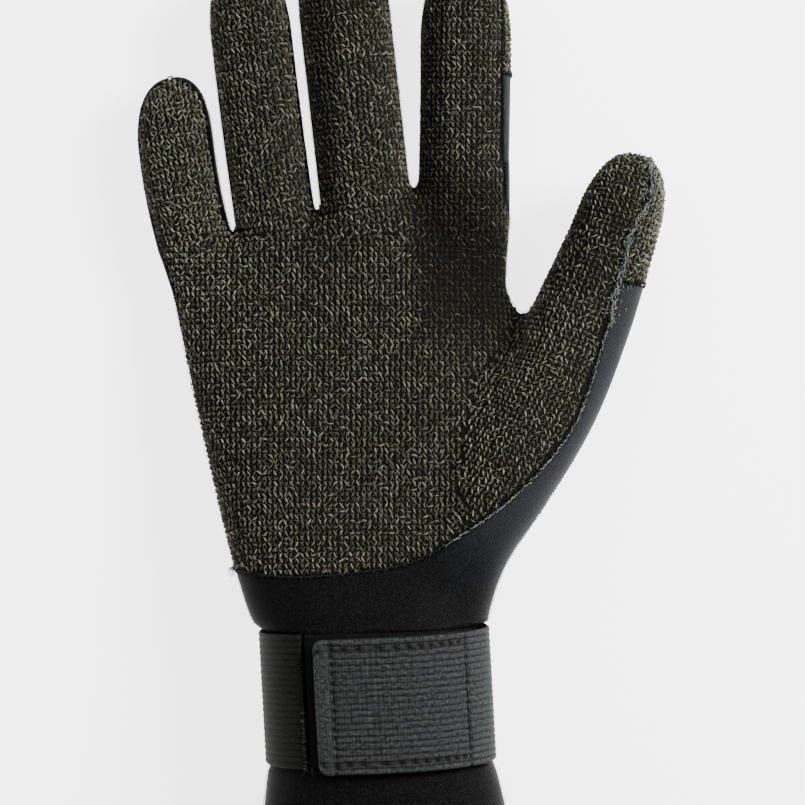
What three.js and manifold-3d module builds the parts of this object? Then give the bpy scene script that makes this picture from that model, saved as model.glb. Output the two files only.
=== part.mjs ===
// Right-hand diving glove lying on its back with the palm up, and the wrist strap fastened.
// Millimetres. X runs from the little finger to the thumb, Y from the cuff to the fingertips,
// Z up out of the palm. The origin is on the surface that the glove lies on, under the palm.
// The glove is a hollow shell of neoprene. It is cut along its seams into a knit-faced palm panel,
// a back panel, a wrist panel, the strips between the fingers and the knit caps of two fingertips.

import * as THREE from "three";
import { mergeVertices } from "three/addons/utils/BufferGeometryUtils.js";
import Module from "manifold-3d";

const wasm = await Module();
wasm.setup();

// Shell
const wall = 3;
const panelGap = 0.3; // open seam between two panels
const flattening = 0.7; // how much of the underside is pressed flat where it rests

// Hand, from the wrist to the web between the fingers
const handWidth = 102;
const handLength = 120;
const handDepth = 34;
const wristY = -68; // on the line x = 0

// Wrist and cuff
const wristWidth = 61.9;
const wristDepth = 42;
const wristMiddleX = 9.3; // at the upper edge of the strap
const wristSkew = 0.055; // how far the middle moves to the thumb side for each mm towards the cuff
const cuffLength = 39.4; // from the lower edge of the strap to the mouth
const mouthWidth = 79;
const mouthDepth = 46;
const mouthMiddleX = 14;

// Fingers
const fingerDepth = 23; // of the middle finger
const fingerBuried = 19; // how far each finger's root reaches below the web line
const fingertipRise = 7; // how far the longest fingertip curls up off the surface
const fingers = [
  { name: "little", rootX: -0.385, length: 63.5, lean: 9.9, bow: -2.4, width: 22.8, depth: 0.86 },
  { name: "ring", rootX: -0.159, length: 96.5, lean: 7.3, bow: -0.7, width: 24.2, depth: 0.94 },
  { name: "middle", rootX: 0.102, length: 104, lean: 6.4, bow: 0, width: 27.2, depth: 1 },
  { name: "index", rootX: 0.346, length: 96, lean: -0.9, bow: 0.8, width: 27, depth: 0.99 },
];

// Thumb
const thumbLength = 130.5; // along its curved middle line, from inside the wrist to the tip
const thumbWidth = 31;
const thumbDepth = 36;

// Strap
const strapWidth = 38.4;
const strapRise = 1.8; // how far its upper edge lies above wristY
const strapThick = 1.6;
const loopPatchThick = 1.2;
const hookPadThick = 1;
const strapDrop = 1.2; // how far lower the free end lies than the sewn end

// Smoothness of the faceted surfaces
const handSides = 32;
const fingerSides = 16;
const tipRings = 5;

const radians = THREE.MathUtils.degToRad;
const webY = wristY + handLength;
const strapY = wristY + strapRise;
const strapEndY = strapY - strapWidth;
const mouthY = strapEndY - cuffLength;
const strapStandOff = panelGap + strapThick; // the strap lies between the wrist and the surface

// Wrist and cuff sections. "past" is a share of the cuff's length below the strap, "swell" how much
// of the way from the wrist's size to the mouth's size the section has gone.
const cuffRows = [
  { past: 1, swell: 1, floor: -1 },
  { past: 0.6, swell: 0.68, floor: -1 },
  { past: 0.31, swell: 0.47, floor: -1 },
  { past: 0.12, swell: 0.31, floor: -0.4 },
  { past: 0.05, swell: 0, floor: 1 },
];

// Hand sections, from above the strap to the web. "along" is a share of handLength, left and right of
// handWidth. top, cup (the hollow of the palm) and under (how far the underside is raised) are shares
// of handDepth. "slope" tilts the section to follow the slanting line of the knuckles.
const handRows = [
  { along: 0.029, left: -0.241, right: 0.428, under: 0, top: 1.29, cup: 0, slope: 0.03 },
  { along: 0.05, left: -0.256, right: 0.431, under: 0, top: 1.28, cup: 0, slope: 0.03 },
  { along: 0.11, left: -0.279, right: 0.438, under: 0, top: 1.24, cup: 0.01, slope: 0.05 },
  { along: 0.22, left: -0.314, right: 0.45, under: 0, top: 1.17, cup: 0.04, slope: 0.08 },
  { along: 0.39, left: -0.36, right: 0.458, under: 0, top: 1.07, cup: 0.1, slope: 0.12 },
  { along: 0.57, left: -0.405, right: 0.506, under: 0, top: 0.97, cup: 0.12, slope: 0.155 },
  { along: 0.66, left: -0.427, right: 0.521, under: 0, top: 0.92, cup: 0.12, slope: 0.175 },
  { along: 0.78, left: -0.454, right: 0.482, under: 0, top: 0.84, cup: 0.09, slope: 0.2 },
  { along: 0.93, left: -0.486, right: 0.482, under: 0, top: 0.73, cup: 0.04, slope: 0.24 },
  { along: 1, left: -0.499, right: 0.48, under: 0.05, top: 0.64, cup: 0, slope: 0.25 },
  { along: 1.045, left: -0.501, right: 0.475, under: 0.14, top: 0.5, cup: 0, slope: 0.25 },
];

// Middle line of the thumb. x is a share of handWidth, y of handLength from wristY,
// z, width and depth of the thumb's depth, width and depth.
const thumbRows = [
  { x: 0.325, y: 0.18, z: 0.55, width: 0.84, depth: 0.93 },
  { x: 0.462, y: 0.37, z: 0.57, width: 0.96, depth: 1 },
  { x: 0.592, y: 0.565, z: 0.57, width: 1.01, depth: 0.95 },
  { x: 0.692, y: 0.76, z: 0.56, width: 0.96, depth: 0.81 },
  { x: 0.778, y: 0.95, z: 0.57, width: 0.83, depth: 0.7 },
  { x: 0.861, y: 1.166, z: 0.63, width: 0.73, depth: 0.64 },
];

// Seam between the knit palm and the neoprene, seen from above, from the outer side of the heel
// along the thumb to its tip. x is a share of handWidth, y of handLength from wristY.
const knitEdge = [
  { x: -0.34, y: 0.16 },
  { x: -0.275, y: 0.155 },
  { x: -0.139, y: 0.146 },
  { x: 0.06, y: 0.158 },
  { x: 0.23, y: 0.19 },
  { x: 0.43, y: 0.295 },
  { x: 0.56, y: 0.394 },
  { x: 0.66, y: 0.505 },
  { x: 0.712, y: 0.615 },
  { x: 0.762, y: 0.756 },
  { x: 0.792, y: 0.856 },
  { x: 0.812, y: 0.93 },
  { x: 0.842, y: 0.99 },
  { x: 0.883, y: 1.075 },
  { x: 0.884, y: 1.2 },
];
const thumbCapY = 0.845; // lower edge of the thumb's knit cap, as a share of handLength

// Outer side of the index finger, where the neoprene comes round to the front. "along" is a share
// of the finger's length and "side" of its half width.
const indexEdge = [
  { along: 0.2, side: 1.15 },
  { along: 0.27, side: 0.92 },
  { along: 0.4, side: 0.83 },
  { along: 0.55, side: 0.79 },
  { along: 0.69, side: 0.78 },
];
const indexCapAlong = 0.655; // lower edge of the index finger's knit cap

// Height of the front seam. "past" counts from wristY in hand lengths.
const frontSeamHand = [
  { past: -1, height: 0.68 },
  { past: -0.33, height: 0.68 },
  { past: 0, height: 0.66 },
  { past: 0.3, height: 0.57 },
  { past: 0.7, height: 0.47 },
];
const frontSeamFinger = 0.6; // share of fingerDepth
const backSeamFinger = 0.3;

// Where the strap's parts begin and end round the wrist, in degrees from the thumb side over the
// palm side. The band runs the long way round, from its sewn end to its free end.
const fullTurn = 360;
const bandStart = 123;
const bandEnd = fullTurn + 112.4;
const tabFold = fullTurn + 104.6; // the turned-over end of the band
const climbStart = 345; // where the band starts to rise on to the fastener strips
const loopPatchStart = 29;
const hookPadStart = 46;
const endMargin = 1.4; // left free between the end of a fastener strip and what it ends at

// A closed mesh as a solid that can be joined and cut.
function solidOf(geometry) {
  geometry.deleteAttribute("normal");
  geometry.deleteAttribute("uv");
  const merged = mergeVertices(geometry, 1e-4);
  return new wasm.Manifold(
    new wasm.Mesh({
      numProp: 3,
      vertProperties: merged.getAttribute("position").array,
      triVerts: new Uint32Array(merged.index.array),
    }),
  );
}

// A solid skinned through rings of equally many points, closed flat at both ends.
function loft(rings) {
  const size = rings[0].length;
  const positions = rings.flat().flatMap((p) => [p.x, p.y, p.z]);
  const indices = [];
  for (let ring = 0; ring + 1 < rings.length; ring++) {
    for (let i = 0; i < size; i++) {
      const a = ring * size + i;
      const b = ring * size + ((i + 1) % size);
      indices.push(a, b, a + size, b, b + size, a + size);
    }
  }
  const outline = rings[0].map((p) => new THREE.Vector2(p.x, p.z));
  const last = (rings.length - 1) * size;
  for (const [a, b, c] of THREE.ShapeUtils.triangulateShape(outline, [])) {
    indices.push(a, c, b, last + a, last + b, last + c);
  }
  const geometry = new THREE.BufferGeometry();
  geometry.setAttribute("position", new THREE.Float32BufferAttribute(positions, 3));
  geometry.setIndex(indices);
  const solid = solidOf(geometry);
  if (solid.volume() > 0) return solid;
  geometry.setIndex(indices.reverse());
  return solidOf(geometry);
}

// Point of a rounded-rectangle curve, between an ellipse at power 2 and a box at a high power.
function roundPoint(angle, halfWidth, halfDepth, power) {
  const bend = (value) => Math.sign(value) * Math.abs(value) ** (2 / power);
  return { across: halfWidth * bend(Math.cos(angle)), up: halfDepth * bend(Math.sin(angle)) };
}

// Wrist, cuff and hand

const handPower = 2.5;

function wristRow(y, swell, floor) {
  const width = THREE.MathUtils.lerp(wristWidth, mouthWidth, swell);
  const middle = THREE.MathUtils.lerp(wristMiddleX + wristSkew * (strapY - y), mouthMiddleX, swell);
  const top = strapStandOff + THREE.MathUtils.lerp(wristDepth, mouthDepth, swell);
  return {
    y,
    left: middle - width / 2,
    right: middle + width / 2,
    under: floor * (floor > 0 ? strapStandOff : flattening),
    top,
    cup: 0,
    slope: handRows[0].slope,
  };
}

const bodyRows = [
  ...cuffRows.map((row) => wristRow(strapEndY - row.past * cuffLength, row.swell, row.floor)),
  wristRow(strapY + 0.005 * handLength, 0, 1),
  ...handRows.map((row) => ({
    y: wristY + row.along * handLength,
    left: row.left * handWidth,
    right: row.right * handWidth,
    under: row.under * handDepth - flattening,
    top: row.top * handDepth,
    cup: row.cup * handDepth,
    slope: row.slope,
  })),
];

function bodyRing(row, inset, sides) {
  const middle = (row.left + row.right) / 2;
  const height = (row.top + row.under) / 2;
  const halfWidth = (row.right - row.left) / 2 - inset;
  const halfDepth = (row.top - row.under) / 2 - inset;
  return Array.from({ length: sides }, (_, i) => {
    const p = roundPoint((2 * Math.PI * i) / sides, halfWidth, halfDepth, handPower);
    const cup = p.up > 0 ? row.cup * Math.cos((p.across / halfWidth) * (Math.PI / 2)) : 0;
    const x = middle + p.across;
    return new THREE.Vector3(x, row.y + row.slope * x, height + p.up - cup);
  });
}

function bodySolid(inset) {
  const rows = bodyRows.map((row) => ({ ...row }));
  if (inset > 0) {
    rows[rows.length - 1].y -= inset;
    rows.unshift({ ...rows[0], y: mouthY - wall }); // opens the mouth
  }
  return loft(rows.map((row) => bodyRing(row, inset, handSides)));
}

// Fingers and thumb

const fingerPower = 2.3;
const tipPower = 2.5;
const tipLength = 0.95; // length of the tapering tip, as a share of the finger's width
const rootShare = 0.8; // size of a finger's buried root, as a share of its full size
const fullFrom = 0.2; // where it reaches its full size, as a share of its length

// How far the fingers have curled up off the surface at y.
function curl(y) {
  const rootY = webY - fingerBuried;
  const share = THREE.MathUtils.clamp((y - rootY) / fingers[2].length, 0, 1.1);
  return fingertipRise * share ** 2;
}

// Size of a finger near its tip, as a share of its full size.
function tipShare(fromTip, width) {
  const run = THREE.MathUtils.clamp(fromTip / (tipLength * width), 0, 1);
  return (1 - (1 - run) ** tipPower) ** (1 / tipPower);
}

// Distances from the tip at which a finger has its sections, closer together towards the tip.
function tipDistances(width) {
  const steps = Array.from({ length: tipRings }, (_, i) => 1 - Math.sin((i * Math.PI) / 2 / tipRings));
  return [...steps.map((share) => share * tipLength * width), 0.004 * width];
}

// A tube of rounded sections along a curve, closed at its tip. sizeAt gives the full width and depth.
function tube(curve, length, inset, plainRings, sizeAt) {
  const tipWidth = sizeAt(1).width - 2 * inset;
  const reach = length - inset;
  const tips = tipDistances(tipWidth).map((fromTip) => reach - fromTip);
  const plain = Array.from({ length: plainRings }, (_, i) => (i / plainRings) * tips[0]);
  const rings = [...plain, ...tips].map((distance) => {
    const along = distance / length;
    const centre = curve.getPointAt(along);
    const forward = curve.getTangentAt(along).setZ(0).normalize();
    const size = sizeAt(along);
    const share = tipShare(reach - distance, tipWidth);
    return Array.from({ length: fingerSides }, (_, i) => {
      const p = roundPoint(
        (2 * Math.PI * i) / fingerSides,
        (size.width / 2 - inset) * share,
        (size.depth / 2 - inset) * share,
        fingerPower,
      );
      return new THREE.Vector3(
        centre.x + forward.y * p.across,
        centre.y - forward.x * p.across,
        centre.z + p.up,
      );
    });
  });
  return loft(rings);
}

// Middle line of a finger: straight apart from its sideways bow and its curl.
function fingerCurve(finger) {
  const angle = radians(finger.lean);
  const depth = finger.depth * fingerDepth;
  const points = Array.from({ length: 7 }, (_, i) => {
    const share = i / 6;
    const along = share * finger.length;
    const side = finger.bow * Math.sin(Math.PI * share);
    const x = finger.rootX * handWidth - Math.sin(angle) * along + Math.cos(angle) * side;
    const y = webY - fingerBuried + Math.cos(angle) * along + Math.sin(angle) * side;
    return new THREE.Vector3(x, y, depth / 2 - flattening / 2 + curl(y));
  });
  return new THREE.CatmullRomCurve3(points);
}

function fingerSolid(finger, inset) {
  return tube(fingerCurve(finger), finger.length, inset, 4, (along) => {
    const full = Math.min(1, rootShare + (1 - rootShare) * (along / fullFrom));
    return {
      width: finger.width * full,
      depth: (finger.depth * fingerDepth + flattening) * full,
    };
  });
}

// Value of one column of a table, at a share of its length.
function tableAt(rows, column, share) {
  const place = THREE.MathUtils.clamp(share, 0, 1) * (rows.length - 1);
  const row = Math.min(Math.floor(place), rows.length - 2);
  return THREE.MathUtils.lerp(rows[row][column], rows[row + 1][column], place - row);
}

const thumbPoints = thumbRows.map(
  (row) => new THREE.Vector3(row.x * handWidth, wristY + row.y * handLength, row.z * thumbDepth),
);

// The thumb's middle line, scaled about its root to the thumb's length.
function thumbCurve() {
  const root = thumbPoints[0];
  const natural = new THREE.CatmullRomCurve3(thumbPoints).getLength();
  const scaled = thumbPoints.map((p) => p.clone().sub(root).multiplyScalar(thumbLength / natural).add(root));
  return new THREE.CatmullRomCurve3(scaled);
}

function thumbSolid(inset) {
  return tube(thumbCurve(), thumbLength, inset, 7, (along) => ({
    width: thumbWidth * tableAt(thumbRows, "width", along),
    depth: thumbDepth * tableAt(thumbRows, "depth", along),
  }));
}

// The whole hollow shell

const farAway = 400;

// A block over the plan outline, a list of points in x and y.
function planPrism(points) {
  const shape = new THREE.Shape(points);
  const geometry = new THREE.ExtrudeGeometry(shape, { depth: 2 * farAway, bevelEnabled: false });
  return solidOf(geometry.translate(0, 0, -farAway));
}

// A block over an outline in y and z, running across the whole glove.
function sidePrism(points) {
  const shape = new THREE.Shape(points);
  const geometry = new THREE.ExtrudeGeometry(shape, { depth: 2 * farAway, bevelEnabled: false });
  const turn = new THREE.Matrix4().makeBasis(
    new THREE.Vector3(0, 1, 0),
    new THREE.Vector3(0, 0, 1),
    new THREE.Vector3(1, 0, 0),
  );
  return solidOf(geometry.applyMatrix4(turn).translate(-farAway, 0, 0));
}

function aboveLevel(z) {
  return sidePrism([
    new THREE.Vector2(-farAway, z),
    new THREE.Vector2(farAway, z),
    new THREE.Vector2(farAway, farAway),
    new THREE.Vector2(-farAway, farAway),
  ]);
}

function gloveForm(inset) {
  const parts = [bodySolid(inset), thumbSolid(inset), ...fingers.map((f) => fingerSolid(f, inset))];
  return parts.reduce((sum, part) => sum.add(part)).intersect(aboveLevel(inset));
}

const shell = gloveForm(0).subtract(gloveForm(wall));

// Seams

const plan = (x, y) => new THREE.Vector2(x, y);
const handPoint = (row) => plan(row.x * handWidth, wristY + row.y * handLength);

// The outline moved outwards by a distance.
function grown(points, distance) {
  if (!distance) return points;
  const turn = THREE.ShapeUtils.isClockWise(points) ? -1 : 1;
  return points.map((p, i) => {
    const before = points[(i + points.length - 1) % points.length];
    const after = points[(i + 1) % points.length];
    const into = p.clone().sub(before).normalize();
    const out = after.clone().sub(p).normalize();
    const normal = plan(into.y + out.y, -into.x - out.x).normalize();
    const spread = Math.max(0.5, into.y * normal.x - into.x * normal.y);
    return p.clone().addScaledVector(normal, (turn * distance) / spread);
  });
}

// Height of the front seam at y, and of the seam between the back and the strips.
function frontSeam(y) {
  const rows = [
    ...frontSeamHand.map((row) => ({ y: wristY + row.past * handLength, z: row.height * handDepth })),
    { y: webY, z: frontSeamFinger * fingerDepth + curl(webY) },
  ];
  if (y >= webY) return frontSeamFinger * fingerDepth + curl(y);
  const next = rows.findIndex((row) => row.y > y);
  if (next <= 0) return rows[0].z;
  const share = (y - rows[next - 1].y) / (rows[next].y - rows[next - 1].y);
  return THREE.MathUtils.lerp(rows[next - 1].z, rows[next].z, share);
}

const backSeam = (y) => backSeamFinger * fingerDepth + curl(y);

// Heights of a seam along the glove, as points in y and z.
function seamLine(seam, shift) {
  const from = mouthY - 2 * wall;
  const to = webY + fingers[2].length;
  const steps = 18;
  return Array.from({ length: steps + 1 }, (_, i) => {
    const y = THREE.MathUtils.lerp(from, to, i / steps);
    return plan(y, seam(y) + shift);
  });
}

function aboveSeam(seam, shift) {
  const line = seamLine(seam, shift);
  return sidePrism([...line, plan(line.at(-1).x, farAway), plan(line[0].x, farAway)]);
}

// Plan of the knit: the whole palm and the fingers, up to the seam on the thumb and the heel.
function indexPoint(row) {
  const finger = fingers[3];
  const centre = fingerCurve(finger).getPointAt(row.along);
  return plan(centre.x + (row.side * finger.width) / 2, centre.y);
}

const farLeft = -handWidth;
const farTop = webY + 2 * handLength;
const thumbSide = new THREE.SplineCurve(knitEdge.map(handPoint)).getPoints(22);
const indexSide = indexEdge.map(indexPoint);
const indexOut = indexPoint({ along: indexEdge.at(-1).along, side: 1.6 });
const palmPlan = [
  plan(farLeft, thumbSide[0].y),
  ...thumbSide,
  plan(thumbSide.at(-1).x, webY + handLength / 4),
  plan(indexOut.x, webY + handLength / 4),
  indexSide[0].clone().add(plan(fingers[3].width / 3, 0)),
  ...indexSide,
  plan(indexSide.at(-1).x, farTop),
  plan(farLeft, farTop),
];

// Plan of the outer side of the thumb's tip, and of the index finger's tip.
const capLineY = wristY + thumbCapY * handLength;
const thumbCapPlan = [
  plan(0.7 * handWidth, capLineY),
  plan(1.3 * handWidth, capLineY),
  plan(1.3 * handWidth, webY + handLength / 3),
  plan(0.7 * handWidth, webY + handLength / 3),
];
const capStart = indexPoint({ along: indexCapAlong, side: 0 });
const indexCapPlan = [
  capStart,
  plan(indexOut.x, capStart.y),
  plan(indexOut.x, farTop),
  plan(capStart.x, farTop),
];

// Plan of the side walls between two fingers, from one middle line to the next.
function betweenPlan(finger, next) {
  const line = (f) => {
    const points = fingerCurve(f).getSpacedPoints(8).map((p) => plan(p.x, p.y));
    const end = points.at(-1);
    return [...points, end.clone().add(end.clone().sub(points.at(-2)).setLength(handLength / 4))];
  };
  return [...line(next), ...line(finger).reverse()];
}

const knitZone = (grow) => planPrism(grown(palmPlan, grow)).intersect(aboveSeam(frontSeam, -grow));
const betweenZone = (finger, next, grow) =>
  planPrism(grown(betweenPlan(finger, next), grow))
    .intersect(aboveSeam(backSeam, -grow))
    .subtract(aboveSeam(frontSeam, grow));

// Everything in front of the seam that isn't knit: the wrist and the outer side of the thumb.
function wristZone(grow) {
  const gapX = indexOut.x;
  const gapY = handPoint({ x: 0, y: 0.74 }).y;
  const outline = [
    plan(-2 * handWidth, gapY),
    plan(-2 * handWidth, mouthY - handLength),
    plan(2 * handWidth, mouthY - handLength),
    plan(2 * handWidth, farTop),
    plan(gapX, farTop),
    plan(gapX, gapY),
  ];
  return planPrism(grown(outline, grow)).intersect(aboveSeam(frontSeam, -grow));
}

// A cut can leave crumbs at its edges. Only the main piece is kept.
function mainPiece(solid) {
  return solid.decompose().sort((a, b) => b.volume() - a.volume())[0];
}

const pieces = {};
let uncut = shell;
function cutOut(name, zone) {
  pieces[name] = mainPiece(uncut.intersect(zone(0)));
  uncut = uncut.subtract(zone(panelGap));
}

cutOut("palm_panel", knitZone);
cutOut("thumb_cap", (grow) => planPrism(grown(thumbCapPlan, grow)).intersect(aboveLevel(wall - grow)));
cutOut("index_cap", (grow) => planPrism(grown(indexCapPlan, grow)).intersect(aboveSeam(backSeam, -grow)));
fingers.slice(0, -1).forEach((finger, i) => {
  const next = fingers[i + 1];
  cutOut(`fourchette_${finger.name}_${next.name}`, (grow) => betweenZone(finger, next, grow));
});
cutOut("wrist_panel", wristZone);
pieces.back_panel = mainPiece(uncut);

// Strap

const strapPower = handPower;
const strapRow = wristRow(strapY, 0, 1);

// Point of a layer that lies off the wrist. Angle in degrees, from the thumb side over the palm.
function strapPoint(angle, off, y) {
  const p = roundPoint(
    radians(angle),
    (strapRow.right - strapRow.left) / 2 + off,
    (strapRow.top - strapRow.under) / 2 + off,
    strapPower,
  );
  const x = (strapRow.left + strapRow.right) / 2 + wristSkew * (strapY - y) + p.across;
  const drop = strapDrop * THREE.MathUtils.smoothstep(angle, fullTurn, bandEnd);
  return new THREE.Vector3(x, y + strapRow.slope * x - drop, (strapRow.top + strapRow.under) / 2 + p.up);
}

// A layer of the strap between two angles. base and thick give its underside and its thickness.
function strapLayer(from, to, base, thick) {
  const steps = Math.max(8, Math.round((to - from) / 6));
  const angles = Array.from({ length: steps + 1 }, (_, i) => THREE.MathUtils.lerp(from, to, i / steps));
  const ring = (y) => [
    ...angles.map((angle) => strapPoint(angle, base(angle) + thick(angle), y)),
    ...angles.toReversed().map((angle) => strapPoint(angle, base(angle), y)),
  ];
  return loft([ring(strapEndY), ring(strapY)]);
}

const loopPatchBase = panelGap;
const hookPadBase = loopPatchBase + loopPatchThick + panelGap;
const tabBase = hookPadBase + hookPadThick + panelGap;

pieces.loop_patch = strapLayer(
  loopPatchStart,
  bandStart - endMargin,
  () => loopPatchBase,
  () => loopPatchThick,
);
pieces.hook_pad = strapLayer(
  fullTurn + hookPadStart,
  tabFold - endMargin,
  () => hookPadBase,
  () => hookPadThick,
);
pieces.strap_band = strapLayer(
  bandStart,
  bandEnd,
  (angle) => {
    const climb = THREE.MathUtils.smoothstep(angle, climbStart, fullTurn + loopPatchStart - endMargin);
    return THREE.MathUtils.lerp(panelGap, tabBase, climb);
  },
  (angle) => strapThick * (angle > tabFold ? 1.5 : 1),
);

// Colours

const finishes = {
  knit: new THREE.MeshStandardMaterial({ color: 0x34322a, roughness: 0.95, metalness: 0 }),
  neoprene: new THREE.MeshStandardMaterial({ color: 0x17171b, roughness: 0.85, metalness: 0 }),
  elastic: new THREE.MeshStandardMaterial({ color: 0x3a3d3d, roughness: 0.9, metalness: 0 }),
  fastener: new THREE.MeshStandardMaterial({ color: 0x0d0d0d, roughness: 1, metalness: 0 }),
};
const finishOf = {
  palm_panel: "knit",
  thumb_cap: "knit",
  index_cap: "knit",
  strap_band: "elastic",
  loop_patch: "fastener",
  hook_pad: "fastener",
};

// A solid as a named mesh.
function meshOf(name, solid) {
  const made = solid.getMesh();
  const geometry = new THREE.BufferGeometry();
  geometry.setAttribute("position", new THREE.BufferAttribute(made.vertProperties.slice(), 3));
  geometry.setIndex(new THREE.BufferAttribute(made.triVerts.slice(), 1));
  geometry.computeVertexNormals();
  const mesh = new THREE.Mesh(geometry, finishes[finishOf[name] ?? "neoprene"]);
  mesh.name = name;
  return mesh;
}

const glove = new THREE.Group();
for (const [name, solid] of Object.entries(pieces)) glove.add(meshOf(name, solid));

export default glove;
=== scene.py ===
import math

import bpy
import numpy as np
import openvdb
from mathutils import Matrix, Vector
from mathutils.kdtree import KDTree


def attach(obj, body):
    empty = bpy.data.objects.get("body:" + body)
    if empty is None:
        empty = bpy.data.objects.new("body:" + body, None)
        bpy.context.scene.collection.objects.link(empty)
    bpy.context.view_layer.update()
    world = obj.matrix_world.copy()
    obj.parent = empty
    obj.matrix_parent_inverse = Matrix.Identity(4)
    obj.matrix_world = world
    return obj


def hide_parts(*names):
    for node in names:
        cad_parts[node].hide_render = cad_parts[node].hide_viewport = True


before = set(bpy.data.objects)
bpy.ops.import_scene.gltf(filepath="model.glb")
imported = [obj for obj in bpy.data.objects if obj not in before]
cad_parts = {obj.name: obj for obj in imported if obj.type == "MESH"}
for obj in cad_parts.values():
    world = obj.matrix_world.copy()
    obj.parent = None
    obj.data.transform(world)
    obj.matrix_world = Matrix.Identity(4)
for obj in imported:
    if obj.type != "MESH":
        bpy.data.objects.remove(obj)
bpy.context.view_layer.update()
print("frame loaded")

mm = 0.001
rng = np.random.default_rng(7)

# the hand's main sizes, in mm. X to the thumb, Y to the fingertips, Z out of the palm
hand = {
    "wall": 3.0,
    "width": 102,
    "length": 120,
    "depth": 34,
    "wristY": -68,
    "wristWidth": 61.9,
    "wristDepth": 42,
    "wristMiddle": 9.3,
    "wristSkew": 0.055,    # how far the wrist's middle moves to the thumb side for each mm down
    "cuffLength": 39.4,
    "mouthWidth": 79,
    "mouthDepth": 46,
    "mouthMiddle": 14,
    "power": 2.5,          # roundness of the palm's section, 2 is an ellipse
    "endRound": 4.0,       # how softly the palm ends between the fingers
    "fingerBlend": 3.5,    # how softly a finger grows out of the palm
    "thumbBlend": 8.0,
    "flattening": 0.7,
    "floorBlend": 1.6,     # softness of the edge where the back lies flat
}
strapWidth = 38.4
strapThick = 1.6
standOff = 1.9
webY = hand["wristY"] + hand["length"]
strapY = hand["wristY"] + 1.8
strapEndY = strapY - strapWidth
mouthY = strapEndY - hand["cuffLength"]

# share of the cuff below the strap, swell from wrist to mouth, floor
cuffRows = [
    (1, 1, -1), (0.6, 0.68, -1), (0.31, 0.47, -1), (0.12, 0.31, -0.4), (0.045, 0.21, 0.4), (0.014, 0, 1),
]
shoulder = (0.5, 0.25)  # mm above the strap, and swell there
# along, left, right, under, top, cup, slope
handRows = [
    (0.029, -0.241, 0.428, 0, 1.29, 0, 0.03),
    (0.05, -0.256, 0.431, 0, 1.28, 0, 0.03),
    (0.11, -0.279, 0.438, 0, 1.24, 0.01, 0.05),
    (0.22, -0.314, 0.45, 0, 1.17, 0.04, 0.08),
    (0.39, -0.36, 0.458, 0, 1.07, 0.1, 0.12),
    (0.57, -0.405, 0.506, 0, 0.97, 0.12, 0.155),
    (0.66, -0.427, 0.521, 0, 0.92, 0.12, 0.175),
    (0.78, -0.454, 0.482, 0, 0.84, 0.09, 0.2),
    (0.93, -0.486, 0.482, 0, 0.73, 0.04, 0.24),
    (1, -0.499, 0.48, 0.05, 0.64, 0, 0.25),
    (1.045, -0.501, 0.475, 0.14, 0.5, 0, 0.25),
]
# little, ring, middle and index finger
fingers = [
    {"rootX": -0.385, "length": 63.5, "lean": 9.9, "bow": -2.4, "width": 22.8, "depth": 0.86},
    {"rootX": -0.159, "length": 96.5, "lean": 7.3, "bow": -0.7, "width": 24.2, "depth": 0.94},
    {"rootX": 0.102, "length": 104, "lean": 6.4, "bow": 0, "width": 27.2, "depth": 1},
    {"rootX": 0.346, "length": 96, "lean": -0.9, "bow": 0.8, "width": 27, "depth": 0.99},
]
fingerShape = {
    "depth": 23,
    "buried": 19,        # mm of each finger inside the palm
    "start": 0.8,        # share of its full size at that end
    "rise": 7,           # mm that the fingertips curl up
    "tipLength": 0.95,   # share of its width that rounds off the tip
    "power": 2.3,
    "tipPower": 2.5,
}
thumb = {
    "length": 130.5,
    "width": 31,
    "depth": 36,
    # x, y, z, width, depth of the middle line
    "rows": [
        (0.325, 0.18, 0.55, 0.84, 0.93),
        (0.462, 0.37, 0.57, 0.96, 1),
        (0.592, 0.565, 0.57, 1.01, 0.95),
        (0.692, 0.76, 0.56, 0.96, 0.81),
        (0.778, 0.95, 0.57, 0.83, 0.7),
        (0.861, 1.166, 0.63, 0.73, 0.64),
    ],
}
# seam between knit and neoprene seen from above, from the outer side of the heel to the thumb's tip
knitEdge = [
    (-0.34, 0.16), (-0.275, 0.155), (-0.139, 0.146), (0.06, 0.158), (0.23, 0.19), (0.43, 0.295),
    (0.56, 0.394), (0.66, 0.505), (0.712, 0.615), (0.762, 0.756), (0.792, 0.856), (0.812, 0.93),
    (0.842, 0.99), (0.883, 1.075), (0.884, 1.2),
]
# side seam of the index finger: share of its length, share of half its width
indexEdge = [(0.2, 1.15), (0.27, 0.92), (0.4, 0.83), (0.55, 0.79), (0.69, 0.78)]
# where the caps start: share of the index finger's length, share of the hand's length
indexCapAlong = 0.655
thumbCapY = 0.845
frontSeamFingers, backSeamFingers = 0.6, 0.3    # height of both seams, share of the fingers' depth
# front seam beside the palm: share of the hand's length, share of its depth
frontSeamHand = [(-1, 0.68), (-0.33, 0.68), (0, 0.66), (0.3, 0.57), (0.7, 0.47)]


def unit(v):
    return v / np.maximum(np.linalg.norm(v, axis=-1, keepdims=True), 1e-9)


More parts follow.
